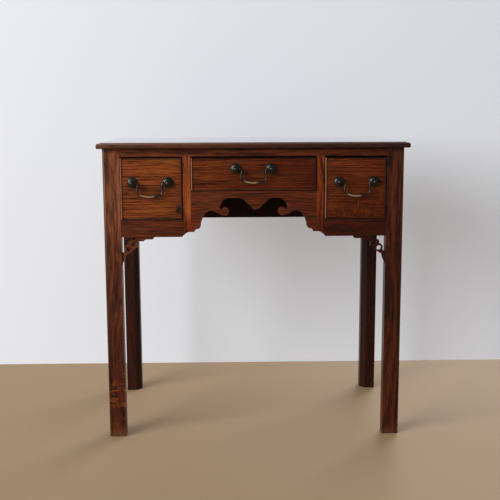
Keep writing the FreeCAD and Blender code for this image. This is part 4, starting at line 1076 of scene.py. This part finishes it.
# %% Roses, posts and nuts
CORNER = "corner"
ROSE = ((3.45, 0.0, CORNER), (12.1, 0.0, CORNER), (12.4, 0.3), (12.4, 0.9), (12.0, 1.3),
        (11.65, 1.35, CORNER), (11.35, 2.5), (10.1, 4.0), (7.9, 5.2), (5.6, 5.8), (4.3, 6.0),
        (3.45, 5.6, CORNER), (3.45, 0.0, CORNER))
POST = ((0.0, -26.0, CORNER), (2.0, -26.0, CORNER), (2.4, -25.6, CORNER), (2.4, 0.0, CORNER),
        (3.4, 0.5, CORNER), (3.4, 5.2, CORNER), (4.6, 5.7), (4.9, 6.4), (4.5, 7.2),
        (4.35, 7.75, CORNER), (5.5, 9.5), (6.0, 12.0), (5.35, 14.8), (3.5, 17.0), (1.4, 17.9),
        (0.0, 18.0, CORNER))
NUT = ((2.45, 0.0, CORNER), (7.07, 0.0, CORNER), (7.07, 2.8, CORNER), (6.3, 3.5, CORNER),
       (2.45, 3.5, CORNER), (2.45, 0.0, CORNER))
FORWARD, BACKWARD = (0, -1, 0), (0, 1, 0)
for side in ("left", "centre", "right"):
    drawer = side + "_drawer_"
    roses = turned("brass_%s_roses" % side, drawer + "handle_roses",
                   solid_places(drawer + "handle_roses", 1.0, FORWARD), ROSE,
                   Rows=64, Rub_start=3 * MM, Rub_end=7 * MM, Rub=0.12)
    stand_for(roses, drawer + "handle_roses")
    post_low, post_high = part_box(drawer + "handle_posts")
    face_share = (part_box(drawer + "front")[0].y - post_low.y) / (post_high.y - post_low.y)
    # the bright tip of each ball is brass rubbed bright and a painted glint
    posts = turned("brass_%s_posts" % side, drawer + "handle_posts",
                   solid_places(drawer + "handle_posts", face_share, FORWARD), POST,
                   Rows=90, Rub_start=14 * MM, Rub_end=18 * MM, Rub=0.3)
    stand_for(posts, drawer + "handle_posts")
    nuts = turned("brass_%s_nuts" % side, drawer + "handle_nuts",
                  solid_places(drawer + "handle_nuts", 0.0, BACKWARD), NUT, Sides=4, Rows=36,
                  Loose_turn=1.5, Seed=len(side))
    stand_for(nuts, drawer + "handle_nuts")
    print(drawer, "handle:", sum(len(p.data.polygons) for p in (roses, posts, nuts)), "faces")

# %% [markdown]
# ## Bails
# A bail is one bent rod, thicker in the middle where the fingers pull.  Its path is a handful of
# corners; the tree rounds each corner by its own radius, swells the section towards the middle,
# and marks where the brass is bright: rubbed by fingers, with a painted highlight on its lit side
# a little left of the middle.


# %% The tree for bails
def make_bail_tree():
    tree, inlet, outlet = new_group(
        "Bent bail", "GeometryNodeTree",
        (("Path", "Geometry", None), ("Wire radius", "Float", 1.9 * MM), ("Swell", "Float", 0.3),
         ("Highlight middle", "Float", 0.44), ("Finish", "Material", None)), (("Bail", "Geometry"),))
    take = inlet.outputs
    curve = add(tree, "GeometryNodeMeshToCurve", {"Mesh": take["Path"]}).outputs[0]
    bend = add(tree, "GeometryNodeInputNamedAttribute", {"Name": "bend"}, data_type="FLOAT")
    rounded = add(tree, "GeometryNodeFilletCurve", {"Curve": curve, "Count": 12,
                                                    "Radius": bend.outputs["Attribute"]},
                  mode="POLY").outputs[0]
    even = add(tree, "GeometryNodeResampleCurve", {"Curve": rounded, "Length": 0.7 * MM},
               mode="LENGTH").outputs[0]
    share = add(tree, "GeometryNodeSplineParameter").outputs["Factor"]
    hill = maths(tree, "SINE", maths(tree, "MULTIPLY", share, math.pi))
    thick = maths(tree, "POWER", hill, 6.0)
    scale = maths(tree, "ADD", maths(tree, "MULTIPLY", thick, take["Swell"]), 1.0)
    sized = add(tree, "GeometryNodeSetCurveRadius", {"Curve": even, "Radius": scale}).outputs[0]
    # a painted highlight a little left of the rod's middle, over brass that fingers rub bright
    apart = maths(tree, "ABSOLUTE", maths(tree, "SUBTRACT", share, take["Highlight middle"]))
    highlight_band = ramped(tree, apart, 0.20, 0.05)
    marked = add(tree, "GeometryNodeStoreNamedAttribute",
                 {"Geometry": sized, "Name": "rubbed", "Value": highlight_band},
                 data_type="FLOAT", domain="POINT").outputs[0]
    ring = add(tree, "GeometryNodeCurvePrimitiveCircle", {"Resolution": 16,
                                                          "Radius": take["Wire radius"]})
    radius = add(tree, "GeometryNodeInputRadius").outputs[0]
    rod = add(tree, "GeometryNodeCurveToMesh", {"Curve": marked,
                                                "Profile Curve": ring.outputs[0],
                                                "Scale": radius, "Fill Caps": True})
    # the side that faces up and out, towards the light, gets the painted highlight; the rest keeps
    # its skin
    lit_side = add(tree, "ShaderNodeVectorMath",
                {0: add(tree, "GeometryNodeInputNormal").outputs[0], 1: (0.0, -0.55, 0.83)},
                operation="DOT_PRODUCT").outputs["Value"]
    along = add(tree, "GeometryNodeInputNamedAttribute", {"Name": "rubbed"}, data_type="FLOAT")
    bright = maths(tree, "MULTIPLY", along.outputs["Attribute"], ramped(tree, lit_side, -0.15, 0.6))
    worn = add(tree, "GeometryNodeStoreNamedAttribute",
               {"Geometry": rod.outputs[0], "Name": "rubbed", "Value": bright},
               data_type="FLOAT", domain="POINT").outputs[0]
    real = add(tree, "GeometryNodeRealizeInstances", {0: worn})
    done = add(tree, "GeometryNodeSetMaterial", {"Geometry": real.outputs[0],
                                                 "Material": take["Finish"]})
    give(tree, outlet, Bail=done.outputs[0])
    return tree


BENT_BAIL = make_bail_tree()
print("tree for bails:", len(BENT_BAIL.nodes), "nodes")

# %% Bails
WIRE_RADIUS, SWELL = 2.2 * MM, 0.28
PIN_REACH = 14.6 * MM
ARM_TOP, KNEE = 27.8 * MM, 30.6 * MM
KNEE_DOWN, MIDDLE_DOWN = 26.6 * MM, 36.4 * MM
ELBOW_BEND, KNEE_BEND, MIDDLE_BEND = 5.0 * MM, 9.5 * MM, 60.0 * MM
for joint in frame["joints"]:
    if joint["type"] != "hinge":
        continue
    node = joint["child"]
    pivot = Vector(joint["pos_m"])
    half = ((KNEE + PIN_REACH, 0.0, 0.0), (ARM_TOP, 0.0, ELBOW_BEND),
            (KNEE, KNEE_DOWN, KNEE_BEND))
    corners = [(-x, down, bend) for x, down, bend in half]
    corners.append((0.0, MIDDLE_DOWN, MIDDLE_BEND))
    corners += reversed(half)
    base = bpy.data.meshes.new("bail path")
    base.from_pydata([pivot + Vector((x, 0, -down)) for x, down, _ in corners],
                     [(number, number + 1) for number in range(len(corners) - 1)], [])
    bends = base.attributes.new("bend", "FLOAT", "POINT")
    for number, corner in enumerate(corners):
        bends.data[number].value = corner[2]
    bail = outward(grown("brass_" + node, base, BENT_BAIL,
                         {"Wire radius": WIRE_RADIUS, "Swell": SWELL,
                          "Finish": FINISH[RECORD_SLOTS[node]]}))
    stand_for(bail, node)

# %% [markdown]
# ## Pegs
# The tenons are locked by pegs of riven oak, driven into round holes: they are eight-sided, not
# quite even, and their ends stand a hair proud because the wood round them has shrunk.

# %% Pegs
PEG = ((0.0, -13.0, CORNER), (3.5, -13.0, CORNER), (3.95, -12.0, CORNER), (3.95, 12.4, CORNER),
       (3.5, 13.0), (1.8, 13.35), (0.0, 13.4, CORNER))
pegs = turned("oak_pegs", "joint_pegs", solid_places("joint_pegs", 0.5), PEG, Sides=8, Rows=24,
              Loose_turn=2.0, Seed=11)
work = bmesh.new()
work.from_mesh(pegs.data)
lay_in_log(work, "pegs")
work.to_mesh(pegs.data)
work.free()
stand_for(pegs, "joint_pegs")
print("pegs:", len(pegs.data.polygons), "faces")

# %% [markdown]
# ## The room
# A plain pale floor, a pale wall close behind and a large soft window light from the left, with a
# weak lamp from behind, as in a quiet room.  The wall is there for the eye and for reflections
# only: it stops no light, and from behind it is clear, so that the back of the piece can be
# looked at.


# %% Floor and wall
ROOM = 6.0
WALL_Y = 0.44
FLOOR_COLOUR = colour(0.42, 0.28, 0.15)
WALL_COLOUR, WALL_GLOW_COLOUR = colour(0.60, 0.625, 0.665), colour(0.97, 0.98, 1.0)
WALL_GLOW = 0.235


def flat_sheet(name, corners, material):
    """A single quad that belongs to the room and not to the object."""
    mesh = bpy.data.meshes.new(name)
    mesh.from_pydata(corners, [], [range(4)])
    mesh.materials.append(material)
    made = bpy.data.objects.new(name, mesh)
    bpy.context.scene.collection.objects.link(made)
    return made


def floor_material():
    """A plain, slightly warm floor."""
    made, _, shader, _ = start_material("Pale floor")
    shader.inputs["Base Color"].default_value = FLOOR_COLOUR
    shader.inputs["Roughness"].default_value = 0.7
    return made


def wall_material():
    """A pale wall; a little of its paleness is only for the eye, so that shadows stay soft."""
    made, tree, shader, _ = start_material("Pale wall")
    shader.inputs["Base Color"].default_value = WALL_COLOUR
    shader.inputs["Roughness"].default_value = 0.9
    seen = add(tree, "ShaderNodeLightPath").outputs
    eyes = maths(tree, "MAXIMUM", seen["Is Camera Ray"], seen["Is Glossy Ray"])
    shader.inputs["Emission Color"].default_value = WALL_GLOW_COLOUR
    tree.links.new(maths(tree, "MULTIPLY", eyes, WALL_GLOW), shader.inputs["Emission Strength"])
    clear = add(tree, "ShaderNodeBsdfTransparent")
    back = add(tree, "ShaderNodeNewGeometry").outputs["Backfacing"]
    mixed = add(tree, "ShaderNodeMixShader", {0: back, 1: shader.outputs[0], 2: clear.outputs[0]})
    tree.links.new(mixed.outputs[0], tree.nodes["Material Output"].inputs["Surface"])
    return made


flat_sheet("floor", [(-ROOM, -ROOM, 0), (ROOM, -ROOM, 0), (ROOM, ROOM, 0), (-ROOM, ROOM, 0)],
           floor_material())
wall = flat_sheet("wall", [(-ROOM, WALL_Y, 0), (ROOM, WALL_Y, 0), (ROOM, WALL_Y, ROOM),
                           (-ROOM, WALL_Y, ROOM)], wall_material())
wall.visible_diffuse = False
wall.visible_shadow = False
print("room:", 2 * ROOM, "m wide, its wall", WALL_Y, "m behind the middle of the piece")

# %% Lamps and sky
MIDDLE = (0, 0, 0.45)
SKY_COLOUR = colour(0.9, 0.93, 1.0)
SKY_LIGHT = 0.36
# the sky looks this much brighter to the eye, and this much darker in a reflection
SKY_SEEN, SKY_MIRRORED = 0.45, -0.10


def soft_lamp(name, place, width, power, tint=(1, 1, 1)):
    """A square lamp that looks at the middle of the piece."""
    data = bpy.data.lights.new(name, "AREA")
    data.shape = "RECTANGLE"
    data.size = width
    data.size_y = width
    data.energy = power
    data.color = tint
    made = bpy.data.objects.new(name, data)
    bpy.context.scene.collection.objects.link(made)
    made.location = place
    made.rotation_euler = (Vector(MIDDLE) - Vector(place)).to_track_quat("-Z", "Y").to_euler()
    made.visible_camera = False


soft_lamp("window", place=(-5.0, -4.0, 2.7), width=4.0, power=440, tint=(0.97, 0.985, 1.0))
soft_lamp("back_fill", place=(1.4, 2.4, 1.6), width=1.6, power=45)
world = bpy.data.worlds.new("Room light")
bpy.context.scene.world = world
world.use_nodes = True
sky_tree = world.node_tree
sky = sky_tree.nodes["Background"]
sky.inputs["Color"].default_value = SKY_COLOUR
rays = add(sky_tree, "ShaderNodeLightPath").outputs
seen = maths(sky_tree, "MULTIPLY", rays["Is Camera Ray"], SKY_SEEN)
mirrored = maths(sky_tree, "MULTIPLY", rays["Is Glossy Ray"], SKY_MIRRORED)
strength = maths(sky_tree, "ADD", maths(sky_tree, "ADD", seen, mirrored), SKY_LIGHT)
sky_tree.links.new(strength, sky.inputs["Strength"])
print("lamps:", [light.name for light in bpy.data.lights])

# %% Camera
# its place in metres, and how far it looks to the right, down and askew in radians
CAMERA_PLACE = Vector((-0.0532, -2.2449, 0.7899))
HEADING, DIP, LEAN = 0.02134, 0.15779, -0.00379
LENS_MM = 62.42
ahead = Vector((math.sin(HEADING) * math.cos(DIP), math.cos(HEADING) * math.cos(DIP),
                -math.sin(DIP)))
level_right = Vector((math.cos(HEADING), -math.sin(HEADING), 0))
level_up = level_right.cross(ahead)
right = math.cos(LEAN) * level_right + math.sin(LEAN) * level_up
up = right.cross(ahead)
camera = bpy.data.objects.new("camera", bpy.data.cameras.new("camera"))
bpy.context.scene.collection.objects.link(camera)
camera.data.sensor_width = 36.0
camera.data.lens = LENS_MM
camera.matrix_world = Matrix.Translation(CAMERA_PLACE) @ Matrix(
    (right, up, -ahead)).transposed().to_4x4()
bpy.context.scene.camera = camera
bpy.context.scene.view_settings.view_transform = "Standard"
print("camera: lens", LENS_MM, "mm")
